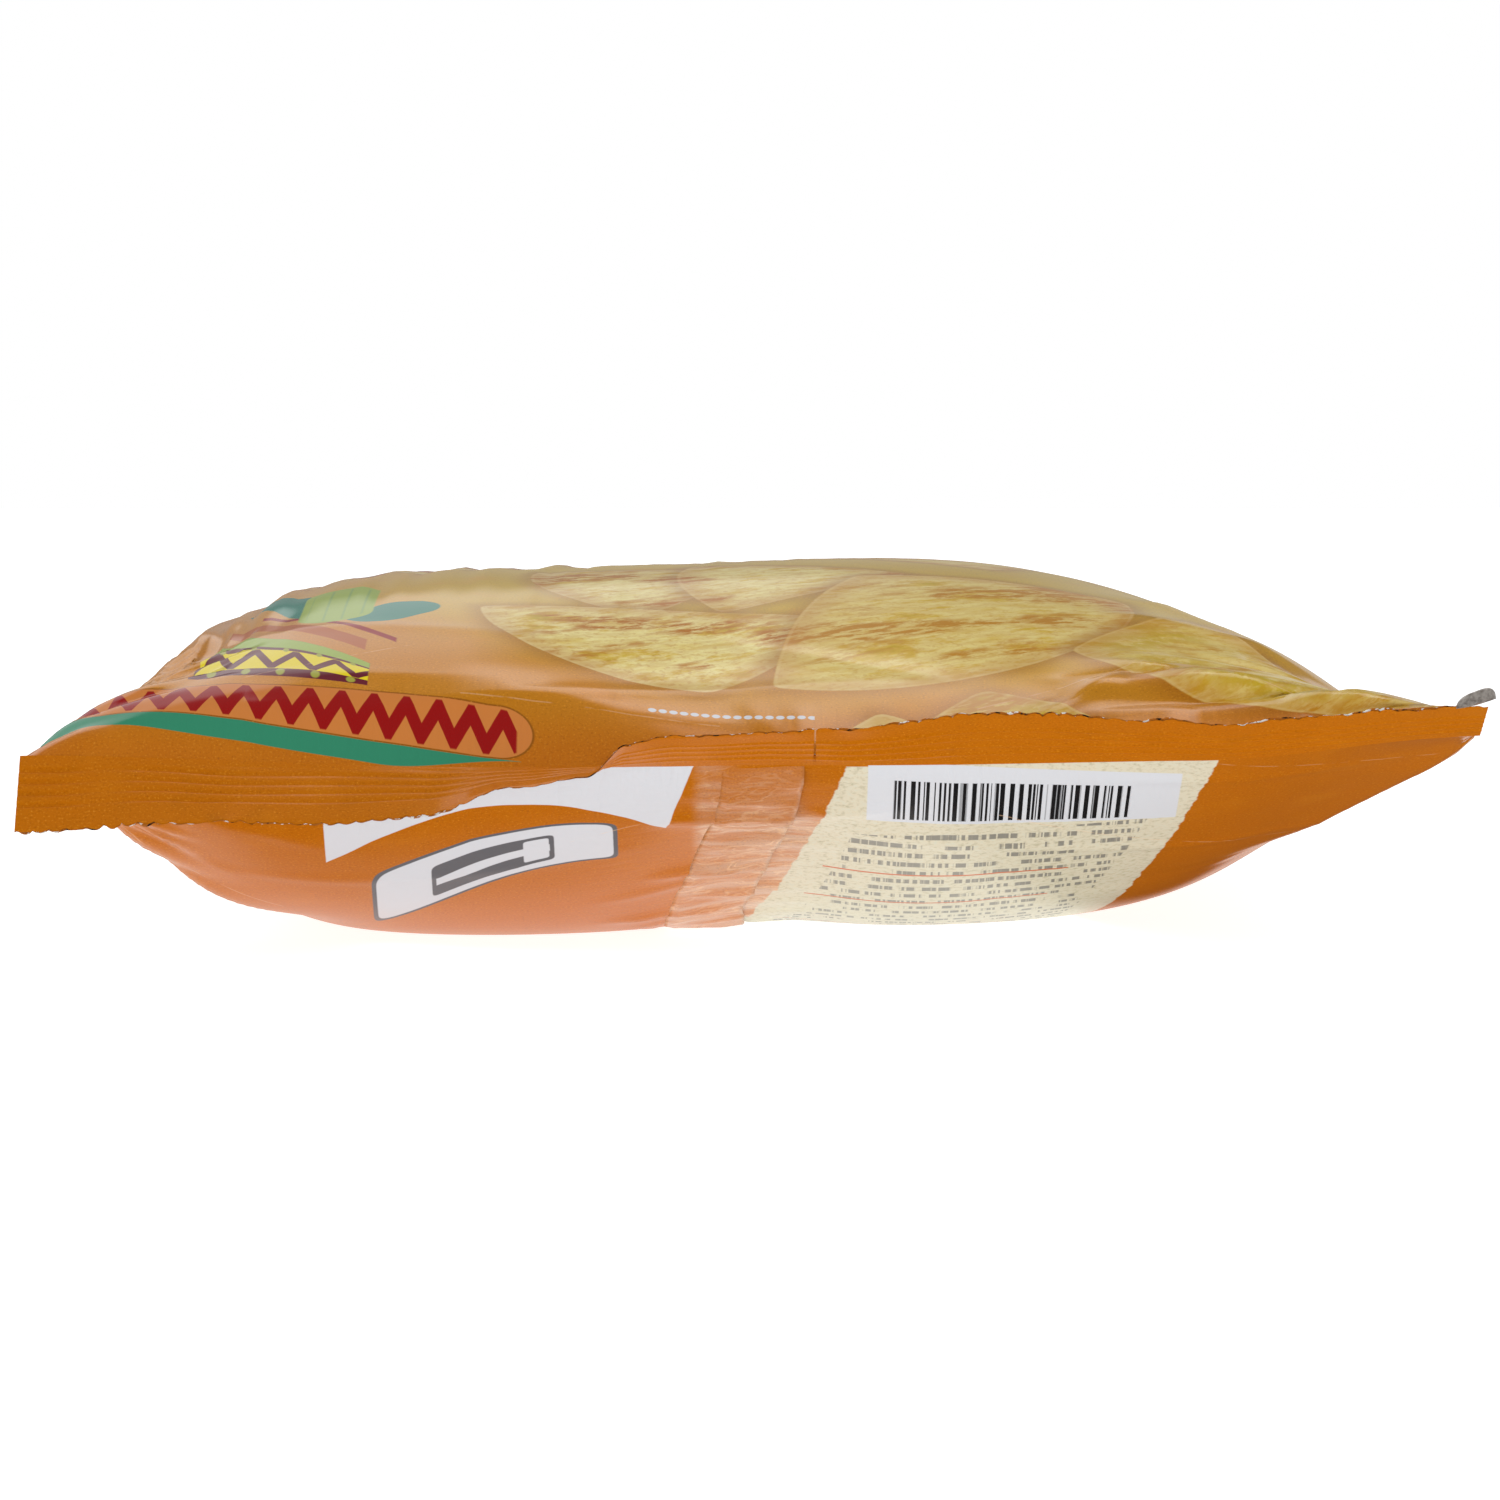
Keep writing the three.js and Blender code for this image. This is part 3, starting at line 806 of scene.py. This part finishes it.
def make_ink_grain():
    """Group: the fine sparkle of metallic ink, as painted bright and dark glints, and its clouds."""
    takes = ("Colour", "Place", "Printed")
    group, (colour, place, printed), end = new_group("ink grain", takes, ("Colour",))
    flakes = noise(place, 0.34, 1.0, 0.6)
    clouds = noise(place, 9.0, 3.0, 0.6)
    metallic = 1 - printed
    # Painted glints: bright and dark flakes of the metallic ink
    lit = over(colour, GLINT, flakes.step(0.56, 0.8) * metallic * 0.32)
    dark_glinted = over(lit, DARK_GLINT, flakes.step(0.46, 0.22) * metallic * 0.3)
    feed(end, (over(dark_glinted, CLOUD, clouds.step(0.5, 0.8) * metallic * 0.25),))
    return group


def make_film_relief():
    """Group: the film's small wrinkles as a normal, with streaks across the long seam and off the seals."""
    takes = ("Place", "By seam", "By seal", "Strength")
    group, (place, by_seam, by_seal, strength), end = new_group("film relief", takes, ("Normal",))
    swells = noise(place, 15.0, 1.0, 0.5) * 0.35
    crinkles = (noise(place, 4.5, 2.0, 0.6) - 0.5).size() * 0.1
    across = (noise(place, 4.0, 2.0, 0.55, (3.0, 1, 1)) - 0.5).size() * 0.8
    along_it = (noise(place, 3.0, 2.0, 0.6, (1, 7, 1)) - 0.5).size() * 0.4
    height = swells + crinkles + across * by_seam + along_it * by_seal
    values = {"Height": height * strength, "Strength": 1.0, "Distance": MM}
    feed(end, (output_of(group, "Bump", 0, values),))
    return group


# Crisps of the front print: three corners, how far the third side stands out as a share of its length, and a
# tone from 0, pale, to 1, toasted. Those further down lie on those further up.
CRISPS = (
    ((-70, 128), (-36, 140), (-48, 104), 0.1, 0.4),
    ((46, 132), (74, 118), (52, 98), 0.1, 0.5),
    ((-24, 128), (8, 134), (-4, 100), 0.1, 0.2),
    ((14, 118), (40, 128), (34, 92), 0.1, 0.6),
    ((-30, 85), (-3, 86), (-15, 47), 0.16, 0.2),
    ((-4, 50), (22, 79), (-8, 92), 0.1, 0.3),
    ((-37, 50), (11, 48), (-5, 18), 0.2, 0.15),
    ((3, 20), (15, 77), (52, 70), 0.26, 0.7),
    ((43, 36), (60, 62), (92, 2), 0.14, 1),
    ((20, 4), (31, 20), (47, 8), 0.16, 0.8),
    ((10, 3), (17, 13), (26, 4), 0.16, 0.7),
)

# How far the crisps' other sides stand out, and how round their corners are
CRISP_BULGES = (0.04, 0.09)
CRISP_CORNER = 2.2

# The way the crisps' grain runs, as a cosine and a sine
GRAIN_WAY = (0.88, 0.47)

# Where the crisps are browned and where greenish: lines from a place to a place, and their half widths
BROWNED = (
    ((29, 62), (47, 67), 3.5),
    ((16, 41), (44, 52), 3.2),
    ((-30, 78), (-8, 74), 3.5),
    ((-28, 45), (4, 40), 3.0),
    ((30, 10), (36, 16), 3.0),
)
GREENED = (
    ((56, 29), (76, 13), 5.0),
    ((50, 40), (58, 50), 2.5),
    ((30, 17), (44, 10), 2.5),
)
STREAK_FADE = 4

# The banded motif in the near left corner: its band, then a block of bands over it, then stripes and a plant
BAND_END = -32.8
BAND_SLOPE = 0.175
BAND_MIDDLE = 6.2
BAND_HALF = 4.7
ZIGZAG_PITCH = 4.3
ZIGZAG_STEEPNESS = 2.512
TEAL_WIDTH = 3.6
BLOCK_SIDES = (-75, -50.5)
BLOCK_HEIGHT = 12
STRIPE_SLOPE = 1.38

# Stripes over the block: height at its right side, half width, first and last column, ink
STRIPES = ((29, 1.5, -73, -51.5, PINK_RED), (36, 0.6, -68, -47.5, RED))

# Limbs of the cactus: start, end, half width and ink; each lies on those before it
CACTUS = (
    ((-59, 54), (-68, 78), 3.6, DARK_TEAL),
    ((-50.5, 47.5), (-47.5, 50.5), 5.0, DARK_TEAL),
    ((-57, 50.5), (-57, 69), 5.2, LIGHT_GREEN),
)

# Painted highlight lines along hard creases on each panel, from a place to a place, and their half width
FRONT_HIGHLIGHT_LINES = (
    ((-72, 17), (-44, 30)), ((30, 14), (52, 27)), ((52, 27), (78, 12)), ((-38, 13), (-4, 9)),
    ((60, 232), (84, 205)),
)
BACK_HIGHLIGHT_LINES = (
    ((33, 18), (75, 52)), ((60, 2), (92, 17)), ((-90, 20), (-62, 44)), ((-24, 20), (-8, 14)),
    ((-46, 236), (-30, 210)),
)
HIGHLIGHT_LINE_HALF = 0.1

# The back's print: the sorting mark's height, line and tray, and the label's lines and rules
MARK_HEIGHT = 13
MARK_LINE = 0.6
TRAY_MIDDLE = 6.89
LINE_PITCH = 4.1
LINE_LEAN = 0.16
RULE_PLACES = (44, 60, 88)

# How far from a seal its streaks begin to fade and are gone
SEAL_STREAKS = (2, 26)


def film_place(tree):
    """Place on the film, which each piece keeps as an attribute."""
    return output_of(tree, "Attribute", "Vector", attribute_name="film")


class Page:
    """A print as it is laid: places on the film, colour, flat inks, and how near seam and seals are."""

    def __init__(self, tree):
        self.place = film_place(tree)
        self.a, self.d, _ = split(self.place)
        self.colour = ORANGE
        self.flat = self.by_seam = self.by_seal = self.a * 0

    def tint(self, above, share):
        """Lays a colour over the print where share is 1."""
        self.colour = over(self.colour, above, share)

    def lay(self, above, share):
        """Lays a flat ink over the print where share is 1."""
        self.tint(above, share)
        self.flat = self.flat.most(share)

    def crease_by_seals(self):
        """Lets the relief's streaks run off both seals."""
        start, end = SEAL_STREAKS
        far = self.d.step(FILM_LENGTH - end, FILM_LENGTH - start)
        self.by_seal = self.d.step(end, start).most(far)


def capsule(page, start, end, half):
    """Distance out of a round-ended bar: that off its middle line, less its half width."""
    wide, high = end[0] - start[0], end[1] - start[1]
    length = float(np.hypot(wide, high))
    a, d = page.a - start[0], page.d - start[1]
    u = (a * wide + d * high) / length
    v = (a * high - d * wide) / length
    return (u * -1).most(u - length).most(0).hypot(v) - half


def box(a, d, middle, half, corner):
    """Distance out of a box with rounded corners."""
    return ((a - middle[0]).size() - half[0]).soft_most((d - middle[1]).size() - half[1], corner)


def arch(a, middle, bend, low):
    """Height of a parabola that is lowest at its middle column."""
    off = a - middle
    return off * off * bend + low


def side_circles(corners, bulges):
    """Centre and radius of the circle through each two corners, by how far it stands out of their side."""
    middle = np.mean(corners, 0)
    for start, end, bulge in zip(corners, np.roll(corners, -1, 0), bulges):
        side = end - start
        chord = np.hypot(*side)
        sag = bulge * chord
        radius = (chord**2 / 4 + sag**2) / (2 * sag)
        inward = np.array([-side[1], side[0]]) / chord
        inward = inward * np.sign(inward @ (middle - start))
        yield (start + end) / 2 + inward * (radius - sag), radius


def crisp_distance(place, corners, bulge):
    """Distance out of a crisp: the rounded greatest of those out of its three side circles."""
    out = None
    for centre, radius in side_circles(np.array(corners, float), (*CRISP_BULGES, bulge)):
        ends = (place, (*centre, 0))
        distance = output_of(place.tree, "VectorMath", "Value", ends, operation="DISTANCE") - radius
        out = out.soft_most(distance, CRISP_CORNER) if out else distance
    return out


def near_lines(page, lines):
    """1 along each line, given as a place, a place and a half width, and fading beyond it."""
    found = 0
    for line in lines:
        found = capsule(page, *line).step(STREAK_FADE, -STREAK_FADE).most(found)
    return found


def crisp_colour(page):
    """Mottled corn: pale and golden lumps, toasted patches of streaks along the grain, and specks."""
    along_it, across = GRAIN_WAY
    grain = vector(page.a * along_it + page.d * across, page.d * along_it - page.a * across, 0)
    lumps = noise(grain, 6.0, 5.0, 0.7, (2.2, 1, 1))
    base = ramp(lumps, ((0.3, CRISP_OLIVE), (0.4, CRISP_GOLD), (0.5, CRISP_PALE), (0.74, CRISP_GOLD)))
    greened = near_lines(page, GREENED) * noise(grain, 3.0, 3.0, 0.7).step(0.36, 0.56)
    patches = noise(grain, 12.0, 3.0, 0.6, (1.8, 0.8, 1)) + near_lines(page, BROWNED) * 0.22
    streaks = noise(grain, 1.7, 4.0, 0.75, (3.6, 1, 1)).step(0.42, 0.56)
    toasted = patches.step(0.5, 0.68) * (streaks * 0.65 + 0.22) + streaks * 0.2
    specks = noise(page.place, 1.1, 2.0, 0.6).step(0.54, 0.66)
    browned = over(over(base, CRISP_OLIVE, greened), CRISP_BROWN, toasted)
    return over(browned, CRISP_BROWN, specks * 0.3)


def make_crisp_layer():
    """Group: one crisp laid over the print, with its shadow, its toasted edge and its pale rim."""
    takes = ("Below", "Corn", "Distance", "Tone")
    group, (below, corn, distance, tone), end = new_group("crisp", takes, ("Colour", "Inside"))
    shaded = over(below, SHADE, distance.step(4, -1) * 0.5)
    toned = over(corn, CRISP_TOASTED, tone * 0.5)
    edged = over(toned, CRISP_BROWN, distance.step(-6, -0.2) * 0.4)
    rimmed = over(edged, CRISP_RIM, (distance + 0.3).size().step(0.3, 0.1) * 0.12)
    inside = distance.inside(0.15)
    feed(end, (over(shaded, rimmed, inside), inside))
    return group


INK_GRAIN = make_ink_grain()
FILM_RELIEF = make_film_relief()
CRISP_LAYER = make_crisp_layer()


def banded_motif(page):
    """A round-ended band with a zigzag and a tapering edge, a block of bands, stripes and a cactus."""
    a, d = page.a, page.d
    level = d - ((BAND_END - a) * BAND_SLOPE + BAND_MIDDLE)
    band = (a - BAND_END).most(0).hypot(level) - BAND_HALF
    page.tint(SHADE, band.inside(0.14))
    page.lay(TAN, (band + 0.28).inside())
    half_teal = (a.step(BAND_END + 4, BAND_END - 16) * TEAL_WIDTH + 0.01) / 2
    under = (level + BAND_HALF + half_teal).size() - half_teal
    page.lay(TEAL, under.most(a - BAND_END - 3).inside())
    wave = (level - a.zigzag(ZIGZAG_PITCH / 2) * ZIGZAG_STEEPNESS).size() - 2.3
    page.lay(RED, (wave.most(band + 0.7).most(a - BAND_END - 2.4) * 0.5).inside())
    left, right = BLOCK_SIDES
    lower = (a - right) * -0.31 + 15.1
    upper = (a - right) * -1.3 + 22
    up = (d - lower) / (upper - lower) * BLOCK_HEIGHT
    block = (left - a).most(a - right).most((up - BLOCK_HEIGHT / 2).size() - BLOCK_HEIGHT / 2)
    page.lay(MAROON, block.inside())
    off_middle = up - 5.04
    middle = off_middle.size() - 2.9
    page.lay(YELLOW, middle.most(block).inside())
    peaks = (off_middle - a.zigzag(2.9) * 1.6).size() - 1.2
    page.lay(MAROON, peaks.most(middle + 0.1).most(block).inside(0.14))
    page.lay(LIGHT_GREEN, ((up - 10.8).size() - 2).most(block).inside(0.14))
    for height, radius in ((1.2, 0.62), (8.16, 0.42)):
        gems = (2.4 - a.zigzag(4.8).size()).hypot((up - height) * 0.667) - radius
        page.lay(OLIVE, gems.most(block).inside(0.14))
    for height, half, start, end, stripe_ink in STRIPES:
        line = (d + (a - right) * STRIPE_SLOPE - height).size() * 0.6 - half
        page.lay(stripe_ink, line.most(start - a).most(a - end).inside(0.2))
    for *limb, limb_ink in CACTUS:
        page.lay(limb_ink, capsule(page, *limb).inside(0.2))
    ribs = (a.zigzag(2.6).size() - 0.16).most(capsule(page, *CACTUS[-1][:3]) + 1.2)
    page.lay(DARK_TEAL, ribs.inside(0.2) * 0.3)


def far_front(page):
    """Upper half of the front: a cream banner between two zigzag bands."""
    banner = box(page.a, page.d, (0, 182), (74, 20), 6)
    page.lay(RED, banner.inside())
    page.lay(CREAM, (banner + 2).inside())
    for middle in (152, 212):
        level = page.d - middle
        band = level.size() - BAND_HALF
        page.lay(TAN, band.inside())
        wave = (level - page.a.zigzag(ZIGZAG_PITCH * 0.7) * 1.6).size() - 1.3
        page.lay(RED, wave.most(band + 0.8).inside())
        page.lay(TEAL, ((level.size() - 6).size() - 0.8).inside())


def paint_crease_highlights(page, lines):
    """Thin pale broken lines along hard folds: painted highlights of the creases."""
    broken = noise(page.place, 3.5, 2.0, 0.6).step(0.38, 0.55) * 0.4
    for line in lines:
        page.tint(PAINTED_HIGHLIGHT, capsule(page, *line, HIGHLIGHT_LINE_HALF).inside(0.12) * broken)


def front_print(page):
    """Orange ground with a golden glow, crisps, the banded motif, a row of dots and a plain banner."""
    a, d = page.a, page.d
    clouds = noise(page.place, 22.0, 2.0, 0.5) * 0.3 - 0.15
    glow = ((a - 12) / 76).hypot((d - 78) / 58) + clouds
    page.tint(TAWNY, d.step(0, 16) * 0.85)
    page.tint(GOLD, glow.step(1.25, 0.6))
    corn = crisp_colour(page)
    level_place = vector(a, d, 0)
    for *corners, bulge, tone in CRISPS:
        distance = crisp_distance(level_place, corners, bulge)
        values = {"Below": page.colour, "Corn": corn, "Distance": distance, "Tone": tone}
        page.colour, inside = use_group(CRISP_LAYER, values)
        page.flat = page.flat.most(inside)
    banded_motif(page)
    dots = (0.7 - (a + 0.2).zigzag(1.4).size()).hypot(d - 11.4 + a * 0.04) - 0.55
    page.lay(WHITE, dots.most((a + 2.5).size() - 11).inside())
    far_front(page)
    # Painted highlight lines along the front's hard creases
    paint_crease_highlights(page, FRONT_HIGHLIGHT_LINES)
    page.crease_by_seals()


def seam_highlight_streaks(page):
    """Pale streaks across the long seam: painted highlights of its crumples."""
    return noise(page.place, 3.0, 4.0, 0.65, (4.5, 1, 1)).step(0.36, 0.62)


def pale_seam(page, pale):
    """Orange gone pale by the long seam, with a net of painted highlights over its fine crumples."""
    bent = noise(page.place, 6.0, 2.0, 0.6, (1.6, 0.8, 1))
    net = (bent - 0.5).size().step(0.03, 0.004).most((bent - 0.58).size().step(0.02, 0.003))
    page.tint(SEAM_PALE, pale)
    # A net of painted highlights over the seam's fine crumples
    page.tint(PAINTED_HIGHLIGHT, net * pale * 0.8)


def sorting_mark(page):
    """A framed mark between two arches, with a tray, a strip and a bare window."""
    a, low = page.a, arch(page.a, -26, 0.021, 14)
    up = (page.d - low) / (arch(a, -23, 0.034, 26.5) - low) * MARK_HEIGHT
    outline = box(a, up, (-33.8, 6.5), (16.4, 6.5), 2.6)
    page.lay(GREY, outline.inside())
    page.lay(WHITE, (outline + MARK_LINE).inside())
    tray = box(a, up, (-34, TRAY_MIDDLE), (8.2, 3.8), 1.4)
    page.lay(GREY, tray.inside())
    page.lay(WHITE, ((up - TRAY_MIDDLE).size() - 1).most(tray + MARK_LINE).inside())
    page.lay(WHITE, box(a, up, (-28.2, TRAY_MIDDLE), (1.7, 3), 0.8).inside())


def paper_label(page):
    """A label of mottled paper with wavering edges: a white box of bars, grey lines and red rules."""
    a, d, place = page.a, page.d, page.place
    waver = (noise(place, 3.0, 3.0, 0.6) - 0.5) * 1.4
    paper = ramp(noise(place, 0.9, 3.0, 0.65), ((0.3, PAPER_DARK), (0.5, CREAM), (0.75, PAPER_PALE)))
    off_middle = a - (d * -0.155 + 37)
    label = ((off_middle + waver).size() - d * 0.02 - 24.2).most((d - 76).size() - 75)
    page.lay(paper, label.inside(0.15))
    level = d - (a - 36) * LINE_LEAN
    page.lay(WHITE, box(a, level, (36, 12), (20.6, 9.4), 0.4).inside())
    bars = (noise(vector(a, 0, 0), 0.62, 1.0, 0.4) - 0.5) * -9
    page.lay(BLACK, bars.most(box(a, level, (34.5, 14), (15.6, 6.4), 0.1)).inside(0.12))
    line = level.math("SNAP", LINE_PITCH)
    off_line = (level - line - LINE_PITCH / 2).size() - 1
    words = (noise(vector(a, line * 7, 0), 4.2, 1.0, 0.5) - 0.43) * -8
    strokes = (noise(vector(a, line * 3, 0), 0.55, 1.0, 0.5) - 0.47) * -2
    text_area = (off_middle.size() - 19.5).most((d - 74).size() - 50)
    page.lay(TEXT_GREY, off_line.most(words).most(strokes).most(text_area).inside(0.12) * 0.85)
    for rule_place in RULE_PLACES:
        rule = ((level - rule_place).size() - 0.3).most((off_middle + 4).size() - 17)
        page.lay(RULE_RED, rule.inside())


def back_print(page):
    """Orange ground with a pale seam, a blank date box, a sorting mark, and a paper label."""
    a, d = page.a, page.d
    right_edge = (a - 16).most(a - d * 0.7 + 3)
    seam = (a + 8).step(0, 2.2) * right_edge.step(2, -4) * (d.step(2, 30) * 0.5 + 0.5)
    # The long seam's pale film, laid in streaks of painted highlight
    pale_seam(page, seam * (seam_highlight_streaks(page) * 0.65 + 0.35) * 0.9)
    date_box = (d - arch(a, -32, 0.0248, 7.8)).most(-56 - a).most(a + d * 0.2 + 7.3)
    page.lay(WHITE, date_box.inside())
    sorting_mark(page)
    paper_label(page)
    # Painted highlight lines along the back's hard creases
    paint_crease_highlights(page, BACK_HIGHLIGHT_LINES)
    page.by_seam = seam.most(a.size().step(42, 8) * 0.6)
    page.crease_by_seals()


def plain_print(page):
    """The bare orange of the seals."""
    page.tint(SHADE, noise(page.place, 5.0, 3.0, 0.6).step(0.5, 0.9) * 0.3)


def seam_print(page):
    """The folded seam: orange gone pale, with painted highlight streaks across."""
    pale_seam(page, (seam_highlight_streaks(page) * 0.5 + 0.3) * (page.d.step(2, 28) * 0.7 + 0.3))
    page.by_seam = page.a * 0 + 1


# Finish of the film: how metallic its bare ink is, its roughness and its clear coat
FOIL_SHARE = 0.22
FILM_SURFACE = {"Roughness": 0.36, "Coat Roughness": 0.1, "Coat IOR": 1.45, "Specular IOR Level": 0.0}


def new_material(name):
    """A new material. Returns it, its node tree and its shader."""
    material = bpy.data.materials.new(name)
    material.use_nodes = True
    return material, material.node_tree, material.node_tree.nodes["Principled BSDF"]


def film_material(name, lay_print, coat=0.6, relief=1.0):
    """A film: its print under the ink's grain, metallic but for its flat inks, and a gloss coat."""
    material, tree, shader = new_material(name)
    page = Page(tree)
    lay_print(page)
    (grained,) = use_group(INK_GRAIN, {"Colour": page.colour, "Place": page.place, "Printed": page.flat})
    places = {"Place": page.place, "By seam": page.by_seam, "By seal": page.by_seal, "Strength": relief}
    (normal,) = use_group(FILM_RELIEF, places)
    feed(shader, FILM_SURFACE)
    metallic = page.flat * -FOIL_SHARE + FOIL_SHARE
    feed(shader, {"Base Color": grained, "Metallic": metallic, "Normal": normal, "Coat Weight": coat})
    return material


def cut_edge():
    """The raw cut: mostly the film's own orange, with painted flecks of foil highlight and of foil shadow.
    """
    material, tree, shader = new_material("cut edge")
    flecks = noise(film_place(tree), 1.3, 2.0, 0.6)
    # Flecks of painted shadow and painted highlight on the cut's foil
    stops = ((0.36, CUT_SHADOW), (0.44, ORANGE), (0.56, ORANGE), (0.6, CUT_HIGHLIGHT))
    feed(shader, {"Base Color": ramp(flecks, stops), "Roughness": 0.4})
    return material


def object_place(tree):
    """Place on the object, in metres."""
    return output_of(tree, "TexCoord", "Object")


def bare_foil():
    """The film's inner side: dull grey foil, scuffed."""
    material, tree, shader = new_material("bare foil")
    scuffs = noise(object_place(tree), 0.6 * MM, 3.0, 0.6)
    bump = output_of(tree, "Bump", 0, {"Height": scuffs, "Strength": 0.4, "Distance": 0.05 * MM})
    tones = ramp(scuffs, ((0.35, FOIL_DARK), (0.6, FOIL_PALE)))
    feed(shader, {"Base Color": tones, "Normal": bump, "Metallic": 0.6, "Roughness": 0.4})
    return material


def add_piece(name, points, faces, places, finishes, second=0):
    """A piece on the only body, with each point's place on the film; `second` has its second finish."""
    piece = add_mesh(name, points.reshape(-1, 3), faces)
    attribute = piece.data.attributes.new("film", "FLOAT_VECTOR", "POINT")
    values = np.stack([np.ravel(value) for value in np.broadcast_arrays(*places)], 1)
    attribute.data.foreach_set("vector", values.astype(np.float32).ravel())
    for finish in finishes:
        piece.data.materials.append(finish)
    which = np.broadcast_to(second, len(faces)).astype(np.int32)
    piece.data.polygons.foreach_set("material_index", which)
    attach(piece, "root")
    return piece


film_points = settled_film()
film_faces = grid_faces(*film_points.shape[:2], True)
film_around, film_panels, film_lengths = film_grid(film_points.shape[1], len(film_points) - 1)
film = add_piece(
    "film", film_points, film_faces, (film_around, film_lengths, film_panels),
    (film_material("front film", front_print), film_material("back film", back_print)),
    film_panels[film_faces[:, 0] % film_points.shape[1]] < 0,
)
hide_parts("bag")

seal_finishes = (film_material("seal film", plain_print, coat=0.25, relief=0.5), cut_edge())
for strip_name, strip_end in (("near_seal", -1), ("far_seal", 1)):
    strip_points, strip_reach = seal_strip(strip_end)
    strip_faces = grid_faces(*strip_points.shape[:2], False)[:, ::strip_end]
    on_cut = (strip_faces // strip_points.shape[1] == STRIP_ROWS + 1).any(1)
    strip_places = (strip_points[..., 0], strip_reach, 0)
    add_piece(strip_name, strip_points, strip_faces, strip_places, seal_finishes, on_cut)

tip_points = curled_tip()
tip_faces = grid_faces(*tip_points.shape[:2], True)
add_piece("curled_tip", tip_points, tip_faces, (tip_points[..., 0], tip_points[..., 2], 0), (bare_foil(),))

fin_points, fin_a, fin_d = fin_strip(film_points, film_normals(film_points))
fin_faces = grid_faces(*fin_points.shape[:2], True)[:, ::-1]
add_piece("long_seam", fin_points, fin_faces, (fin_a, fin_d, 0), (film_material("seam film", seam_print),))

# Camera: it looks along the bag from its near end, a little above level
TARGET = Vector((0, -0.125, 0.0277))
DISTANCE = 1.1
ELEVATION = np.radians(2.0)
FRAME_WIDTH = 0.19485
SENSOR = 36.0
camera = bpy.data.objects.new("camera", bpy.data.cameras.new("camera"))
camera.data.sensor_width = SENSOR
camera.data.lens = SENSOR * DISTANCE / FRAME_WIDTH
camera.data.clip_end = 20
back_off = Vector((0, -np.cos(ELEVATION), np.sin(ELEVATION))) * DISTANCE
camera.location = TARGET + back_off
camera.rotation_euler = (-back_off).to_track_quat("-Z", "Y").to_euler()
bpy.context.scene.collection.objects.link(camera)
bpy.context.scene.camera = camera

# Floor and light: a light table in a white studio, dim towards the near side and along the horizon
FLOOR_REACH = 9e3
TABLE_GLOW = 0.9
MIRRORED_GLOW = 0.68
LOW_SKY_GAIN = 0.6
DIFFUSE_STRENGTH = 0.7
GLOSS_STRENGTH = 0.25
NEAR_DIMMING = 0.6
PALE = (0.5, 0.5, 0.5, 1)
DARK_FRONT = (0.05, 0.05, 0.05, 1)
FULL_WHITE = (1, 1, 1, 1)
FRONT_DARKENS = (-0.075, -0.106)
RIGHT_DARKENS = 0.1

# Soft boxes that gloss sees, by direction: middle and half size across and up, and strength
SOFT_BOXES = (
    (-0.33, 0.33, 0.5, 0.22, 0.95),
    (0.065, 0.075, 0.775, 0.085, 2.2),
    (0.3, 0.2, 0.72, 0.14, 0.45),
    (0.25, 0.16, 0.17, 0.1, 0.4),
)

# Area lights, which gloss doesn't see: name, place and aim in metres, size and power
LIGHTS = (
    ("key", (-0.9, -0.9, 0.9), (0, 0, 0.02), 0.8, 3),
    ("top", (0.3, 0.2, 1.3), (0, 0, 0.02), 1.0, 2),
    ("low fill", (0.2, -1.6, 0.1), (0, -0.1, 0.02), 0.5, 2),
)


def light_path(tree, kind):
    """1 for rays of one kind."""
    return output_of(tree, "LightPath", f"Is {kind} Ray")


def pale_floor():
    """A glowing white table. Gloss sees it dimmer, and dark in front of the bag and to its right."""
    material, tree, shader = new_material("pale floor")
    x, y, _ = split(object_place(tree))
    mirrored = light_path(tree, "Glossy")
    dark = (y - x.step(0.02, 0.07) * RIGHT_DARKENS).step(*FRONT_DARKENS) * mirrored
    glow = (mirrored * (MIRRORED_GLOW - 1) + 1) * (1 - dark) * TABLE_GLOW
    feed(shader, {"Base Color": over(PALE, DARK_FRONT, dark), "Roughness": 0.8})
    feed(shader, {"Emission Color": FULL_WHITE, "Emission Strength": glow})
    return material


def studio_world():
    """A white studio. Gloss sees it dimmer, so that colours stay full."""
    world = bpy.data.worlds.new("studio")
    world.use_nodes = True
    tree = world.node_tree
    across, far, up = split(output_of(tree, "TexCoord", "Generated"))
    dimmed = (far.step(-0.2, -0.8) * -NEAR_DIMMING + 1) * (up.step(0.4, 0.05) * LOW_SKY_GAIN + 1)
    gloss = dimmed * GLOSS_STRENGTH
    for middle, half, height, half_height, power in SOFT_BOXES:
        outside = ((across - middle).size() - half).most((up - height).size() - half_height)
        gloss = gloss + outside.step(0.05, -0.04) * far.step(-0.1, 0.1) * power
    seen = light_path(tree, "Camera") * (1 - DIFFUSE_STRENGTH)
    strength = (gloss - DIFFUSE_STRENGTH) * light_path(tree, "Glossy") + seen + DIFFUSE_STRENGTH
    feed(tree.nodes["Background"], {"Color": FULL_WHITE, "Strength": strength})
    return world


def soft_light(name, place, aim, size, power):
    """A square area light at `place`, turned towards `aim`."""
    light = bpy.data.lights.new(name, "AREA")
    light.size = size
    light.energy = power
    lamp = bpy.data.objects.new(name, light)
    lamp.location = place
    lamp.rotation_euler = (Vector(aim) - Vector(place)).to_track_quat("-Z", "Y").to_euler()
    lamp.visible_glossy = False
    bpy.context.scene.collection.objects.link(lamp)


floor_corners = np.array([(-1, -1, 0), (1, -1, 0), (1, 1, 0), (-1, 1, 0)]) * FLOOR_REACH
floor = add_mesh("floor", floor_corners, np.array([[0, 1, 2, 3]]))
floor.data.materials.append(pale_floor())
bpy.context.scene.world = studio_world()
bpy.context.scene.view_settings.view_transform = "Standard"
for light_values in LIGHTS:
    soft_light(*light_values)

bpy.context.view_layer.update()
